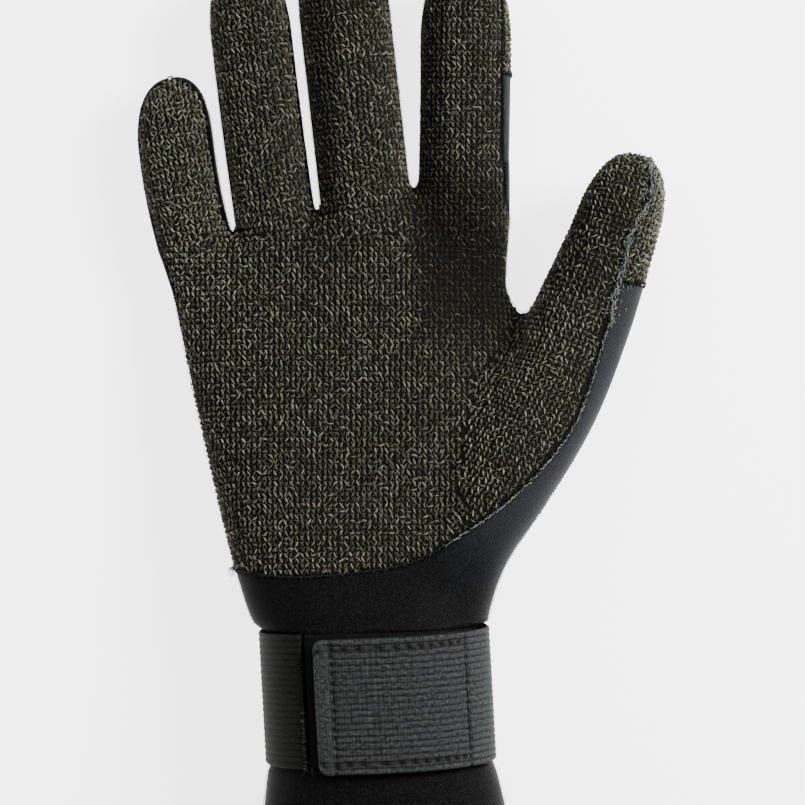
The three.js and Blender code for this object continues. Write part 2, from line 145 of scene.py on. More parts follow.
def smoothLine(x, xs, ys):
    # a smooth line through the rows of a table that never overshoots them
    xs, ys = np.asarray(xs, float), np.asarray(ys, float)
    gap, rise = np.diff(xs), np.diff(ys) / np.diff(xs)
    slope = np.concatenate([rise[:1], np.zeros(len(xs) - 2), rise[-1:]])
    same = rise[:-1] * rise[1:] > 0
    slope[1:-1][same] = 2 / (1 / rise[:-1][same] + 1 / rise[1:][same])
    x = np.clip(x, xs[0], xs[-1])
    i = np.clip(np.searchsorted(xs, x) - 1, 0, len(xs) - 2)
    t = (x - xs[i]) / gap[i]
    a, b = ys[i], ys[i + 1]
    return (
        a * (1 + 2 * t) * (1 - t) ** 2 + b * t * t * (3 - 2 * t)
        + gap[i] * (slope[i] * t * (1 - t) ** 2 - slope[i + 1] * t * t * (1 - t))
    )


def smoothStep(value, start, end):
    t = np.clip((value - start) / (end - start), 0, 1)
    return t * t * (3 - 2 * t)


def softMin(a, b, width):
    h = np.clip(0.5 + 0.5 * (b - a) / width, 0, 1)
    return b + (a - b) * h - width * h * (1 - h)


def softMax(a, b, width):
    return -softMin(-a, -b, width)


def sectionDistance(across, halfWidth, up, halfDepth, power, tip=None, tipLength=1, tipPower=2):
    # distance from the skin of a rounded section, negative inside. tip is the way into the rounded end
    a, b = np.abs(across / halfWidth), np.abs(up / halfDepth)
    f = np.maximum((a**power + b**power) ** (1 / power), 1e-4)
    steep = np.hypot((a / f) ** (power - 1) / halfWidth, (b / f) ** (power - 1) / halfDepth)
    if tip is not None:
        t = np.maximum(tip, 0)
        whole = np.maximum((f**tipPower + t**tipPower) ** (1 / tipPower), 1e-4)
        steep = np.hypot((f / whole) ** (tipPower - 1) * steep, (t / whole) ** (tipPower - 1) / tipLength)
        f = whole
    return (f - 1) / steep


def wristRow(y, swell, floor):
    # a row of the body: y, left, right, under, top, cup, slope
    width = hand["wristWidth"] + swell * (hand["mouthWidth"] - hand["wristWidth"])
    middle = hand["wristMiddle"] + hand["wristSkew"] * (strapY - y)
    middle = middle + swell * (hand["mouthMiddle"] - middle)
    top = standOff + hand["wristDepth"] + swell * (hand["mouthDepth"] - hand["wristDepth"])
    under = floor * (standOff if floor > 0 else hand["flattening"])
    return (y, middle - width / 2, middle + width / 2, under, top, 0, 0.03)


bodyRows = np.array(
    [wristRow(mouthY - 8, 1, -1)]
    + [wristRow(strapEndY - past * hand["cuffLength"], swell, floor) for past, swell, floor in cuffRows]
    + [wristRow(strapY - 0.3, 0, 1), wristRow(strapY + shoulder[0], shoulder[1], 0.6)]
    + [
        (
            hand["wristY"] + along * hand["length"], left * hand["width"], right * hand["width"],
            under * hand["depth"] - hand["flattening"], top * hand["depth"], cup * hand["depth"], slope,
        )
        for along, left, right, under, top, cup, slope in handRows
    ]
)


def rowAt(y, column):
    return smoothLine(y, bodyRows[:, 0], bodyRows[:, column])


def alongBody(x, y):
    # the sections slant, so a point's section isn't at its own y
    along = np.array(y, float)
    for _ in range(4):
        along = y - x * rowAt(along, 6)
    return along


def bodyDistance(x, y, z):
    along = alongBody(x, y)
    left, right, under, top, cup = (rowAt(along, c) for c in range(1, 6))
    across, halfWidth = x - (left + right) / 2, (right - left) / 2
    height, halfDepth = (top + under) / 2, (top - under) / 2
    up = z - height
    cupDepth = cup * np.cos(np.clip(np.abs(across / halfWidth), 0, 1) * math.pi / 2)
    up = up + cupDepth * smoothStep(up, 0, 0.6 * halfDepth)
    d = sectionDistance(across, halfWidth, up, halfDepth, hand["power"])
    return softMax(d, along - (bodyRows[-1, 0] - 0.5), hand["endRound"])


def curl(y):
    share = np.clip((y - webY + fingerShape["buried"]) / fingers[2]["length"], 0, 1.1)
    return fingerShape["rise"] * share**2


def fingerLine(finger, along):
    # middle line of a finger seen from above
    lean = math.radians(finger["lean"])
    side = finger["bow"] * np.sin(math.pi * along / finger["length"])
    x = finger["rootX"] * hand["width"] - math.sin(lean) * along + math.cos(lean) * side
    return x, webY - fingerShape["buried"] + math.cos(lean) * along + math.sin(lean) * side


def fingerFrame(finger, x, y):
    # how far along a finger a point lies, and how far beside its middle line
    lean = math.radians(finger["lean"])
    dx, dy = x - finger["rootX"] * hand["width"], y - webY + fingerShape["buried"]
    along = -math.sin(lean) * dx + math.cos(lean) * dy
    across = math.cos(lean) * dx + math.sin(lean) * dy
    return along, across - finger["bow"] * np.sin(math.pi * np.clip(along / finger["length"], 0, 1))


def fingerDistance(finger, x, y, z):
    along, across = fingerFrame(finger, x, y)
    full = np.clip(fingerShape["start"] + along / finger["length"], fingerShape["start"], 1)
    depth = finger["depth"] * fingerShape["depth"]
    tipLength = fingerShape["tipLength"] * finger["width"]
    d = sectionDistance(
        across, finger["width"] / 2 * full,
        z - depth / 2 + hand["flattening"] / 2 - curl(y), (depth + hand["flattening"]) / 2 * full,
        fingerShape["power"], 1 - (finger["length"] - along) / tipLength, tipLength, fingerShape["tipPower"],
    )
    return softMax(d, -along, 3)


def catmull(points, steps):
    points = np.asarray(points, float)
    p = np.concatenate([[2 * points[0] - points[1]], points, [2 * points[-1] - points[-2]]])
    t = np.linspace(0, 1, steps, endpoint=False)[:, None]
    parts = []
    for i in range(1, len(p) - 2):
        a, b, c, d = p[i - 1:i + 3]
        parts.append(0.5 * (2 * b + (c - a) * t + (2 * a - 5 * b + 4 * c - d) * t**2
                            + (3 * b - a - 3 * c + d) * t**3))
    return np.concatenate(parts + [points[-1:]])


def thumbPath():
    rows = np.array(thumb["rows"])
    line = np.stack([rows[:, 0] * hand["width"], hand["wristY"] + rows[:, 1] * hand["length"],
                     rows[:, 2] * thumb["depth"]], 1)
    fine = catmull(line, 24)
    natural = np.linalg.norm(np.diff(fine, axis=0), axis=1).sum()
    fine = fine[0] + (fine - fine[0]) * thumb["length"] / natural
    reach = np.concatenate([[0], np.cumsum(np.linalg.norm(np.diff(fine, axis=0), axis=1))])
    ahead = fine[-1] - fine[-6]
    ahead[2] = 0
    ahead /= np.linalg.norm(ahead)
    past = 25    # mm that the line runs on past the tip
    return np.vstack([fine, fine[-1] + ahead * past]), np.append(reach, reach[-1] + past)


thumbLine, thumbReach = thumbPath()


def nearThumb(x, y):
    # how far along the thumb's middle line a point lies, and how far to its right
    x, y = np.asarray(x, float), np.asarray(y, float)
    flat = np.stack([x.ravel(), y.ravel()], 1)
    best, along, across = np.full(len(flat), 1e9), np.zeros(len(flat)), np.zeros(len(flat))
    for i in range(len(thumbLine) - 1):
        a, d = thumbLine[i, :2], thumbLine[i + 1, :2] - thumbLine[i, :2]
        span = np.hypot(*d)
        offset = flat - a
        share = np.clip(offset @ d / span**2, 0, 1)
        gap = offset - share[:, None] * d
        away = (gap**2).sum(1)
        side = (offset[:, 0] * d[1] - offset[:, 1] * d[0]) / span
        closer = away < best
        best = np.where(closer, away, best)
        along = np.where(closer, thumbReach[i] + share * (thumbReach[i + 1] - thumbReach[i]), along)
        across = np.where(closer, np.sign(side) * np.sqrt(away), across)
    return along.reshape(x.shape), across.reshape(x.shape)


def thumbDistance(along, across, z):
    # along and across are seen from above, from nearThumb
    rows = np.array(thumb["rows"])
    places = np.linspace(0, thumb["length"], len(rows))
    width, depth = (smoothLine(along, places, rows[:, c]) for c in (3, 4))
    middle = np.interp(along, thumbReach, thumbLine[:, 2])
    tipLength = fingerShape["tipLength"] * rows[-1, 3] * thumb["width"]
    d = sectionDistance(
        across, width * thumb["width"] / 2, z - middle, depth * thumb["depth"] / 2,
        fingerShape["power"], 1 - (thumb["length"] - along) / tipLength, tipLength, fingerShape["tipPower"],
    )
    return softMax(d, 0.5 - along, 3)


# the hollow between the palm and the thumb: place, reach across and along, depth
hollow = {
    "x": 36, "y": 34, "across": 13, "along": 20, "depth": 3.0, "lean": -0.2,
    "startZ": 12, "fullZ": 22,    # only the skin above this height sinks
}


def hollowShare(x, y):
    dx = x - hollow["x"] - hollow["lean"] * (y - hollow["y"])
    return np.exp(-(dx / hollow["across"]) ** 2 - ((y - hollow["y"]) / hollow["along"]) ** 2)


# the glove's outer skin as a distance field on a grid
grid = {"step": 1.0, "low": (-64, -149, -3), "high": (100, 141, 52)}
gridX, gridY, gridZ = (np.arange(a, b + 1e-6, grid["step"]) for a, b in zip(grid["low"], grid["high"]))
planX, planY = np.meshgrid(gridX, gridY, indexing="ij")


def gloveDistance():
    x, y, z = planX[:, :, None], planY[:, :, None], gridZ[None, None, :]
    along, across = nearThumb(planX, planY)
    thumbField = thumbDistance(along[:, :, None], across[:, :, None], z)
    whole = body = softMin(bodyDistance(x, y, z), thumbField, hand["thumbBlend"])
    for finger in fingers:
        whole = np.minimum(whole, softMin(body, fingerDistance(finger, x, y, z), hand["fingerBlend"]))
    whole = whole + hollow["depth"] * hollowShare(x, y) * smoothStep(z, hollow["startZ"], hollow["fullZ"])
    return softMax(whole, -z, hand["floorBlend"])


skin = gloveDistance()
print("glove form", skin.shape)


def sampleField(points, field):
    # reads a field between its grid points
    p = (points - np.array(grid["low"])) / grid["step"]
    p = np.clip(p, 0, np.array(field.shape) - 1.001)
    i = p.astype(int)
    f = p - i
    value = 0
    for a, b, c in np.ndindex(2, 2, 2):
        weight = np.abs(1 - a - f[:, 0]) * np.abs(1 - b - f[:, 1]) * np.abs(1 - c - f[:, 2])
        value = value + weight * field[i[:, 0] + a, i[:, 1] + b, i[:, 2] + c]
    return value


def skinNormal(points):
    steps = 0.8 * np.eye(3)
    return unit(np.stack([sampleField(points + d, skin) - sampleField(points - d, skin) for d in steps], 1))


def ontoSkin(points, height=0.0, rounds=3):
    for _ in range(rounds):
        points = points - (sampleField(points, skin) - height)[:, None] * skinNormal(points)
    return points


def atHand(rows):
    return [(x * hand["width"], hand["wristY"] + y * hand["length"]) for x, y in rows]


# seams
def frontSeam(y):
    ys = [hand["wristY"] + past * hand["length"] for past, _ in frontSeamHand] + [webY]
    onFingers = frontSeamFingers * fingerShape["depth"]
    zs = [h * hand["depth"] for _, h in frontSeamHand] + [onFingers + float(curl(webY))]
    return np.where(y >= webY, onFingers + curl(y), np.interp(y, ys, zs))


def backSeam(y):
    return backSeamFingers * fingerShape["depth"] + curl(y)


def indexPoint(along, side):
    x, y = fingerLine(fingers[3], along * fingers[3]["length"])
    return (float(x) + side * fingers[3]["width"] / 2, float(y))


def planDistance(points):
    # distance from a closed outline seen from above, negative inside it
    points = np.asarray(points, float)
    x, y = planX, planY
    away = np.full(x.shape, 1e9)
    inside = np.zeros(x.shape, bool)
    for a, b in zip(points, np.roll(points, -1, axis=0)):
        d = b - a
        share = np.clip(((x - a[0]) * d[0] + (y - a[1]) * d[1]) / max(d @ d, 1e-9), 0, 1)
        away = np.minimum(away, np.hypot(x - a[0] - share * d[0], y - a[1] - share * d[1]))
        crosses = (a[1] > y) != (b[1] > y)
        rise = d[1] if abs(d[1]) > 1e-9 else 1e-9
        inside ^= crosses & (x < a[0] + (y - a[1]) * d[0] / rise)
    return np.where(inside, -away, away)


thumbSide = catmull(atHand(knitEdge), 6)
indexSide = [indexPoint(a, s) for a, s in indexEdge]
# places past the glove where the outlines of the panels may end
farTop, farSide, farUnder = webY + 2 * hand["length"], 200, -300
pastThumb, pastThumbCap = webY + hand["length"] / 4, webY + 40
outX = indexPoint(indexEdge[-1][0], 1.6)[0]
palmOutline = (
    [(-hand["width"], thumbSide[0][1])] + [tuple(p) for p in thumbSide]
    + [(thumbSide[-1][0], pastThumb), (outX, pastThumb), (indexSide[0][0] + 9, indexSide[0][1])]
    + indexSide + [(indexSide[-1][0], farTop), (-hand["width"], farTop)]
)
capLineY = hand["wristY"] + thumbCapY * hand["length"]
capLeft, capRight = 0.7 * hand["width"], 1.3 * hand["width"]
thumbCapOutline = [
    (capLeft, capLineY), (capRight, capLineY), (capRight, pastThumbCap), (capLeft, pastThumbCap),
]
capStart = indexPoint(indexCapAlong, 0)
indexCapOutline = [capStart, (outX, capStart[1]), (outX, farTop), (capStart[0], farTop)]
wristTop = hand["wristY"] + 0.74 * hand["length"]
wristOutline = [
    (-farSide, wristTop), (-farSide, farUnder), (farSide, farUnder), (farSide, farTop), (outX, farTop),
    (outX, wristTop),
]


def betweenOutline(finger, following):
    def line(f):
        points = [fingerLine(f, a) for a in np.linspace(0, f["length"], 9)]
        (x0, y0), (x1, y1) = points[-2:]
        stretch = hand["length"] / 4 / math.hypot(x1 - x0, y1 - y0)
        return points + [(x1 + (x1 - x0) * stretch, y1 + (y1 - y0) * stretch)]
    return line(following) + line(finger)[::-1]


zGrid = gridZ[None, None, :]
aboveFront = frontSeam(gridY)[None, :, None] - zGrid
aboveBack = backSeam(gridY)[None, :, None] - zGrid
betweenSeams = np.maximum(aboveBack, -aboveFront)
# each panel takes what is left of the skin inside its outline, in this order, and the back takes the rest
outlines = [
    ("palm", palmOutline, aboveFront),
    ("thumbCap", thumbCapOutline, hand["wall"] - zGrid),
    ("indexCap", indexCapOutline, aboveBack),
    ("between0", betweenOutline(*fingers[0:2]), betweenSeams),
    ("between1", betweenOutline(*fingers[1:3]), betweenSeams),
    ("between2", betweenOutline(*fingers[2:4]), betweenSeams),
    ("wrist", wristOutline, aboveFront),
]
zones, taken = {}, np.full((1, 1, 1), -1e9)
for name, outline, limit in outlines:
    zone = np.maximum(planDistance(outline)[:, :, None], limit)
    zones[name] = np.maximum(zone, taken)
    taken = np.maximum(taken, -zone)
zones["back"] = taken
print("seams placed")


def meshObject(name, points, faces, material, marks=None):
    # marks are numbers that the material reads at each point
    mesh = bpy.data.meshes.new(name)
    faces = np.asarray(faces, np.int32)
    mesh.vertices.add(len(points))
    mesh.vertices.foreach_set("co", (np.asarray(points) * mm).astype(np.float32).ravel())
    mesh.loops.add(faces.size)
    mesh.loops.foreach_set("vertex_index", faces.ravel())
    mesh.polygons.add(len(faces))
    mesh.polygons.foreach_set("loop_start", np.arange(0, faces.size, faces.shape[1], dtype=np.int32))
    mesh.polygons.foreach_set("use_smooth", np.ones(len(faces), bool))
    mesh.update(calc_edges=True)
    for key, value in (marks or {}).items():
        mesh.attributes.new(key, "FLOAT", "POINT").data.foreach_set("value", np.asarray(value, np.float32))
    mesh.materials.append(material)
    piece = bpy.data.objects.new(name, mesh)
    bpy.context.scene.collection.objects.link(piece)
    return piece


triangleCounts = {}


def place(piece, slotName, *nodes):
    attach(piece, "root")
    if nodes:
        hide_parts(*nodes)
    triangleCounts[piece.name] = sum(len(face.vertices) - 2 for face in piece.data.polygons)
    print(piece.name, triangleCounts[piece.name], "triangles")


def largestPart(points, faces):
    # keeps the biggest connected part of a mesh
    label = np.arange(len(points))
    while True:
        low = label[faces].min(1)
        new = label.copy()
        np.minimum.at(new, faces.ravel(), np.repeat(low, faces.shape[1]))
        new = new[new]
        if np.array_equal(new, label):
            break
        label = new
    names, counts = np.unique(label, return_counts=True)
    keep = label == names[counts.argmax()]
    number = np.cumsum(keep) - 1
    return points[keep], number[faces[keep[faces].all(1)]]


def fieldMesh(field):
    near = 3.0    # mm from the surface that the field is kept
    volume = openvdb.FloatGrid()
    volume.background = near
    volume.copyFromArray(np.clip(field, -near, near).astype(np.float32))
    points, quads = volume.convertToQuads(isovalue=0.0)
    return points.astype(float) * grid["step"] + np.array(grid["low"]), quads.astype(np.int64)[:, ::-1]


# materials
def newMaterial(name):
    material = bpy.data.materials.new(name)
    material.use_nodes = True
    tree = material.node_tree
    return material, tree, tree.nodes["Principled BSDF"]


def setInputs(tree, node, inputs):
    for key, value in inputs.items():
        if isinstance(value, bpy.types.NodeSocket):
            tree.links.new(value, node.inputs[key])
        else:
            node.inputs[key].default_value = value


def addNode(tree, kind, inputs=None, **settings):
    node = tree.nodes.new(kind)
    for key, value in settings.items():
        setattr(node, key, value)
    setInputs(tree, node, inputs or {})
    return node


def ramp(tree, factor, stops):
    node = addNode(tree, "ShaderNodeValToRGB", {"Fac": factor})
    elements = node.color_ramp.elements
    for element, (position, colour) in zip(elements, (stops[0], stops[-1])):
        element.position, element.color = position, (*colour, 1)
    for position, colour in stops[1:-1]:
        elements.new(position).color = (*colour, 1)
    return node.outputs["Color"]


def attribute(tree, name):
    return addNode(tree, "ShaderNodeAttribute", attribute_name=name).outputs["Fac"]


def timesPlus(tree, value, factor, extra):
    inputs = {0: value, 1: factor, 2: extra}
    return addNode(tree, "ShaderNodeMath", inputs, operation="MULTIPLY_ADD").outputs[0]


def mixColours(tree, kind, factor, a, b):
    inputs = {"Factor": factor, "A": a, "B": b}
    return addNode(tree, "ShaderNodeMix", inputs, data_type="RGBA", blend_type=kind).outputs["Result"]


def surfacePoint(tree, turn=0.0):
    # object coordinates in mm, turned about z
    where = addNode(tree, "ShaderNodeTexCoord").outputs["Object"]
    inputs = {"Vector": where, "Scale": (1 / mm,) * 3, "Rotation": (0, 0, turn)}
    return addNode(tree, "ShaderNodeMapping", inputs).outputs["Vector"]


def noise(tree, scale, detail, roughness=0.5, where=None):
    where = surfacePoint(tree) if where is None else where
    inputs = {"Vector": where, "Scale": scale, "Detail": detail, "Roughness": roughness}
    return addNode(tree, "ShaderNodeTexNoise", inputs).outputs["Fac"]


stripeScale = 0.314    # scale of a wave texture whose stripes lie 1 mm apart


def stripes(tree, where, pitch, distortion, detailScale):
    inputs = {"Vector": where, "Scale": stripeScale / pitch, "Distortion": distortion, "Detail": 2.0,
              "Detail Scale": detailScale}
    return addNode(tree, "ShaderNodeTexWave", inputs, wave_type="BANDS", bands_direction="X").outputs["Fac"]


def finishSurface(tree, shader, colour, roughness, specular, height, relief):
    # relief in mm
    bump = addNode(tree, "ShaderNodeBump", {"Height": height, "Distance": relief * mm, "Strength": 1.0})
    setInputs(tree, shader, {
        "Base Color": colour, "Roughness": roughness, "Specular IOR Level": specular,
        "Normal": bump.outputs["Normal"],
    })


knitYarn = {
    "dark": (0.0018, 0.0018, 0.0014),
    "middle": (0.050, 0.049, 0.038),
    "light": (0.158, 0.155, 0.127),
    "roughness": 0.7,
    "fibre": 0.12,      # mm between the fibres of the yarn
}


def yarnMaterial(name, colours):
    material, tree, shader = newMaterial(name)
    grain = noise(tree, 1 / colours["fibre"] / 4, 2.0, 0.6)
    patch = noise(tree, 0.35, 1.0)
    inputs = {0: attribute(tree, "tone"), 1: timesPlus(tree, grain, 0.35, -0.175)}
    lifted = addNode(tree, "ShaderNodeMath", inputs, operation="ADD").outputs[0]
    colour = ramp(tree, lifted, [(0.0, colours["dark"]), (0.45, colours["middle"]), (1.0, colours["light"])])
    tint = ramp(tree, patch, [(0.35, (1.0, 0.97, 0.84)), (0.65, (0.93, 1.0, 0.95))])
    colour = mixColours(tree, "MULTIPLY", 1, colour, tint)
    finishSurface(tree, shader, colour, colours["roughness"], 0.05, grain, 0.05)
    return material


knitBase = {
    "colour": (0.0024, 0.0024, 0.0019),
    "light": (0.0085, 0.0085, 0.0063),
    "roughness": 0.85,
    "pitch": 1.42,
}


def knitBaseMaterial():
    # the dark ground that shows between the stitches
    material, tree, shader = newMaterial("knitGround")
    inputs = {"Vector": surfacePoint(tree), "Scale": 1.6 / knitBase["pitch"]}
    dimples = addNode(tree, "ShaderNodeTexVoronoi", inputs).outputs["Distance"]
    colour = ramp(tree, noise(tree, 2.2, 3.0), [(0.35, knitBase["colour"]), (0.75, knitBase["light"])])
    finishSurface(tree, shader, colour, knitBase["roughness"], 0.03, dimples, 0.4)
    return material


neopreneFace = {
    "colour": (0.0016, 0.0016, 0.0018),
    "speck": (0.0052, 0.0053, 0.0058),
    "paintedSheenColour": (0.0128, 0.0138, 0.0156),   # painted sheen: a paler jersey colour on the thumb's outer side, where the key lamp falls
    "fleck": 0.6,                             # share that the pale flecks vary its brightness
    "roughness": 0.6,
    "ribPitch": 0.68,
    "ribLean": -36,
    "ribShade": 0.95,
}


def neopreneMaterial(name, face):
    material, tree, shader = newMaterial(name)
    ribs = stripes(tree, surfacePoint(tree, math.radians(face["ribLean"])), face["ribPitch"], 1.6, 1.6)
    speck = noise(tree, 1.5, 2.0)
    base = ramp(tree, speck, [(0.42, face["colour"]), (0.75, face["speck"])])
    # painted sheen: the jersey is mixed towards a paler colour where the key lamp falls
    base = mixColours(tree, "MIX", attribute(tree, "paintedSheen"), base, (*face["paintedSheenColour"], 1))
    fleck = timesPlus(tree, speck, 2 * face["fleck"], 1 - face["ribShade"] / 2 - face["fleck"])
    colour = mixColours(tree, "MULTIPLY", 1, base, timesPlus(tree, ribs, face["ribShade"], fleck))
    rough = timesPlus(tree, noise(tree, 0.05, 1.0), 0.2, face["roughness"] - 0.1)
    height = addNode(tree, "ShaderNodeMath", {0: ribs, 1: speck}, operation="ADD").outputs[0]
    finishSurface(tree, shader, colour, rough, 0.025, height, 0.06)
    setInputs(tree, shader, {
        "Sheen Weight": 0.006, "Sheen Roughness": 0.4, "Sheen Tint": (0.75, 0.85, 1.0, 1),
    })
    return material


knitGround = knitBaseMaterial()
knitThread = yarnMaterial("knitYarn", knitYarn)
neoprene = neopreneMaterial("neopreneJersey", neopreneFace)

# the sewn panels
sampleAlong = alongBody(planX, planY)[:, :, None]
panelLook = {"groove": 0.4, "grooveDepth": 0.5, "touch": 0.03, "knitDrop": 0.5, "neopreneDrop": 0.2}
panels = {
    "palmPanel": ("palm", "palm_panel", knitGround, "knit"),
    "thumbCap": ("thumbCap", "thumb_cap", knitGround, "knit"),
    "indexCap": ("indexCap", "index_cap", knitGround, "knit"),
    "fourchetteLittleRing": ("between0", "fourchette_little_ring", neoprene, "neoprene"),
    "fourchetteRingMiddle": ("between1", "fourchette_ring_middle", neoprene, "neoprene"),
    "fourchetteMiddleIndex": ("between2", "fourchette_middle_index", neoprene, "neoprene"),
    "wristPanel": ("wrist", "wrist_panel", neoprene, "neoprene"),
    "backPanel": ("back", "back_panel", neoprene, "neoprene"),
}


def panelMesh(zone, drop):
    shell = np.maximum(skin + drop, -(skin + hand["wall"]))
    shell = np.maximum(shell, mouthY - sampleAlong)
    # a groove at the skin, nearly closed below it
    opening = smoothStep(skin, -drop - panelLook["grooveDepth"], -drop)
    gap = panelLook["touch"] + (panelLook["groove"] - panelLook["touch"]) * opening
    return largestPart(*fieldMesh(np.maximum(shell, zone + gap / 2)))


# where painted sheen makes the jersey paler, in mm: over x + y / 2 and up from the wrist on the thumb's outer
# side, and in x and y beside the index finger
paintedSheenSide = {
    "across": (2, 30), "up": (-60, -28),
    "indexX": (44, 48), "indexY": (18, 30), "indexEnd": 66, "index": 0.75,
}


def paintedSheenShare(points):
    x, y = points[:, 0], points[:, 1]
    onThumb = smoothStep(x + 0.5 * y, *paintedSheenSide["across"])
    onIndex = (x < paintedSheenSide["indexEnd"]) * smoothStep(y, *paintedSheenSide["indexY"])
    beside = paintedSheenSide["index"] * onIndex * smoothStep(x, *paintedSheenSide["indexX"])
    return np.maximum(onThumb * smoothStep(y, *paintedSheenSide["up"]) * (1 - onIndex), beside)


for name, (zone, node, material, slotName) in panels.items():
    points, quads = panelMesh(zones[zone], panelLook[slotName + "Drop"])
    # each panel carries its share of painted sheen for the jersey
    place(meshObject(name, points, quads, material, {"paintedSheen": paintedSheenShare(points)}), slotName, node)


def strandTubes(lines, ups, radius):
    # stitches, threads and loose fibres: short three sided tubes with closed ends
    # lines (n, m, 3), ups (n, 1 or m, 3), radius (n, m)
    n, m = lines.shape[:2]
    ahead = unit(np.gradient(lines, axis=1))
    side = unit(np.cross(ahead, ups))
    up = np.cross(side, ahead)
    r = radius[:, :, None]
    foot = lines - up * r * 0.45
    points = np.stack([lines + up * r, foot - side * r * 0.92, foot + side * r * 0.92], 2).reshape(-1, 3)
    first = np.arange(n) * m * 3
    ring = (np.arange(m - 1) * 3)[None, :, None, None]
    quads = np.array([[0, 1, 4, 3], [1, 2, 5, 4], [2, 0, 3, 5]])[None, None]
    faces = first[:, None, None, None] + ring + quads
    tris = np.concatenate([faces[..., [0, 1, 2]], faces[..., [0, 2, 3]]], 2).reshape(-1, 3)
    caps = np.concatenate([first[:, None] + [0, 2, 1], first[:, None] + (m - 1) * 3 + [0, 1, 2]])
    return points, np.concatenate([tris, caps])[:, ::-1]


def addStrands(name, parts, material, slotName):
    # each part holds the lines, ways up, radii and tones of its strands
    lines, ups, radius, tone = (np.concatenate(p) for p in zip(*parts))
    points, tris = strandTubes(lines, ups, radius)
    marks = {"tone": np.repeat(tone, lines.shape[1] * 3)}
    place(meshObject(name, points, tris, material, marks), slotName)


def laid(start, *moves):
    # lines of five points, moved from each start by pairs of a way and the distances along it
    lines = start[:, None]
    for way, reach in moves:
        lines = lines + way[:, None] * np.atleast_2d(reach)[:, :, None]
    return lines


def varied(tone, mess, count, least=0.02):
    return np.clip(tone * np.exp(rng.normal(0, mess, count)), least, 1)


# places along a strand, from its start and from its middle
shares = np.linspace(0, 1, 5)
fromMiddle = shares - 0.5

# rows of knit stitches laid over the skin, in mm
knit = {
    "wale": 1.6,          # between neighbouring columns of stitches
    "course": 1.6,        # between rows
    "radius": 0.285,
    "lift": -0.12,        # height of a stitch's middle over the skin
    "sink": 0.6,          # how deep its ends lie under the skin
    "slant": 0.28,        # share of the column's width that a stitch leans over
    "mess": 0.2,          # disorder
    "underTone": 0.30,    # brightness of the strand that crosses under each stitch
    "bridge": 0.15,       # share of stitches that cross to the next column
    "closest": 1.15,      # stitches nearer to another than this are left out
    "gapFill": 1.3,       # places farther from a stitch than this get one
    "edgeGap": 0.5,       # left bare beside a seam
    "edgeGapThumb": 1.25,
    "thumbEdge": (18, 40),    # the wider gap grows to its full size between these x
    "crotchY": 20,        # above this only what lies past the next two x belongs to the thumb
    "thumbX": 52,
    "thumbEdgeX": 62,
    "fingerStart": 47.0,  # where the rows of the fingers start
    "capPaintedLight": 1.3,     # the thumb's cap is painted a little lighter, as painted light where it faces the lamp
    # where the rows start, how many steps they go up, and how many columns lie to each side
    "palmRows": ((4, -62, 36), 70, 46),
    "fingerRows": (10.0, 28, 90, 15),
    "thumbRows": (16.0, 20, 110, 26),
}
# the crease between palm and thumb
creaseLine = [(70, 42), (53.7, 23.6), (38.4, 5.9), (33.9, -23.6), (29.5, -42.8), (29, -60)]


def ridge(start, direction, step, steps, steepest=0.88):
    # walks over the skin from start, keeping to direction, which may depend on the place
    p = ontoSkin(np.array([start], float), rounds=6)
    points, ups = [], []
    for _ in range(steps):
        n = skinNormal(p)
        d = direction(p)
        if (n * d).sum() > steepest:
            break
        u = unit(d - (d * n).sum(1, keepdims=True) * n)
        points.append(p[0])
        ups.append(u[0])
        p = ontoSkin(p + u * step, rounds=2)
    return np.array(points), np.array(ups)


def rowsFrom(points, ups, step, count):
    # walks from each start to both sides, in the plane across ups
    found, number, row = [points], [np.zeros(len(points), int)], [np.arange(len(points))]
    for sign in (1, -1):
        p = points.copy()
        for j in range(count):
            n = skinNormal(p)
            p = ontoSkin(p + unit(np.cross(ups, n)) * sign * step, rounds=1)
            p = p - ((p - points) * ups).sum(1, keepdims=True) * ups
            p = ontoSkin(p, rounds=1)
            found.append(p)
            number.append(np.full(len(points), sign * (j + 1)))
            row.append(np.arange(len(points)))
    spread = np.tile(ups, (2 * count + 1, 1))
    return np.concatenate(found), spread, np.concatenate(number), np.concatenate(row)


def rightOfCrease(points):
    xs, ys = zip(*creaseLine[::-1])
    return points[:, 0] - np.interp(points[:, 1], ys, xs)


def fingerOwner(points):
    # the finger whose middle line is nearest for its width
    away = [np.abs(fingerFrame(f, points[:, 0], points[:, 1])[1]) / f["width"] for f in fingers]
    return np.argmin(away, 0)


def thumbDirection(p):
    along, _ = nearThumb(p[:, 0], p[:, 1])
    i = np.clip(np.searchsorted(thumbReach, along), 1, len(thumbReach) - 1)
    return unit(thumbLine[i] - thumbLine[i - 1])


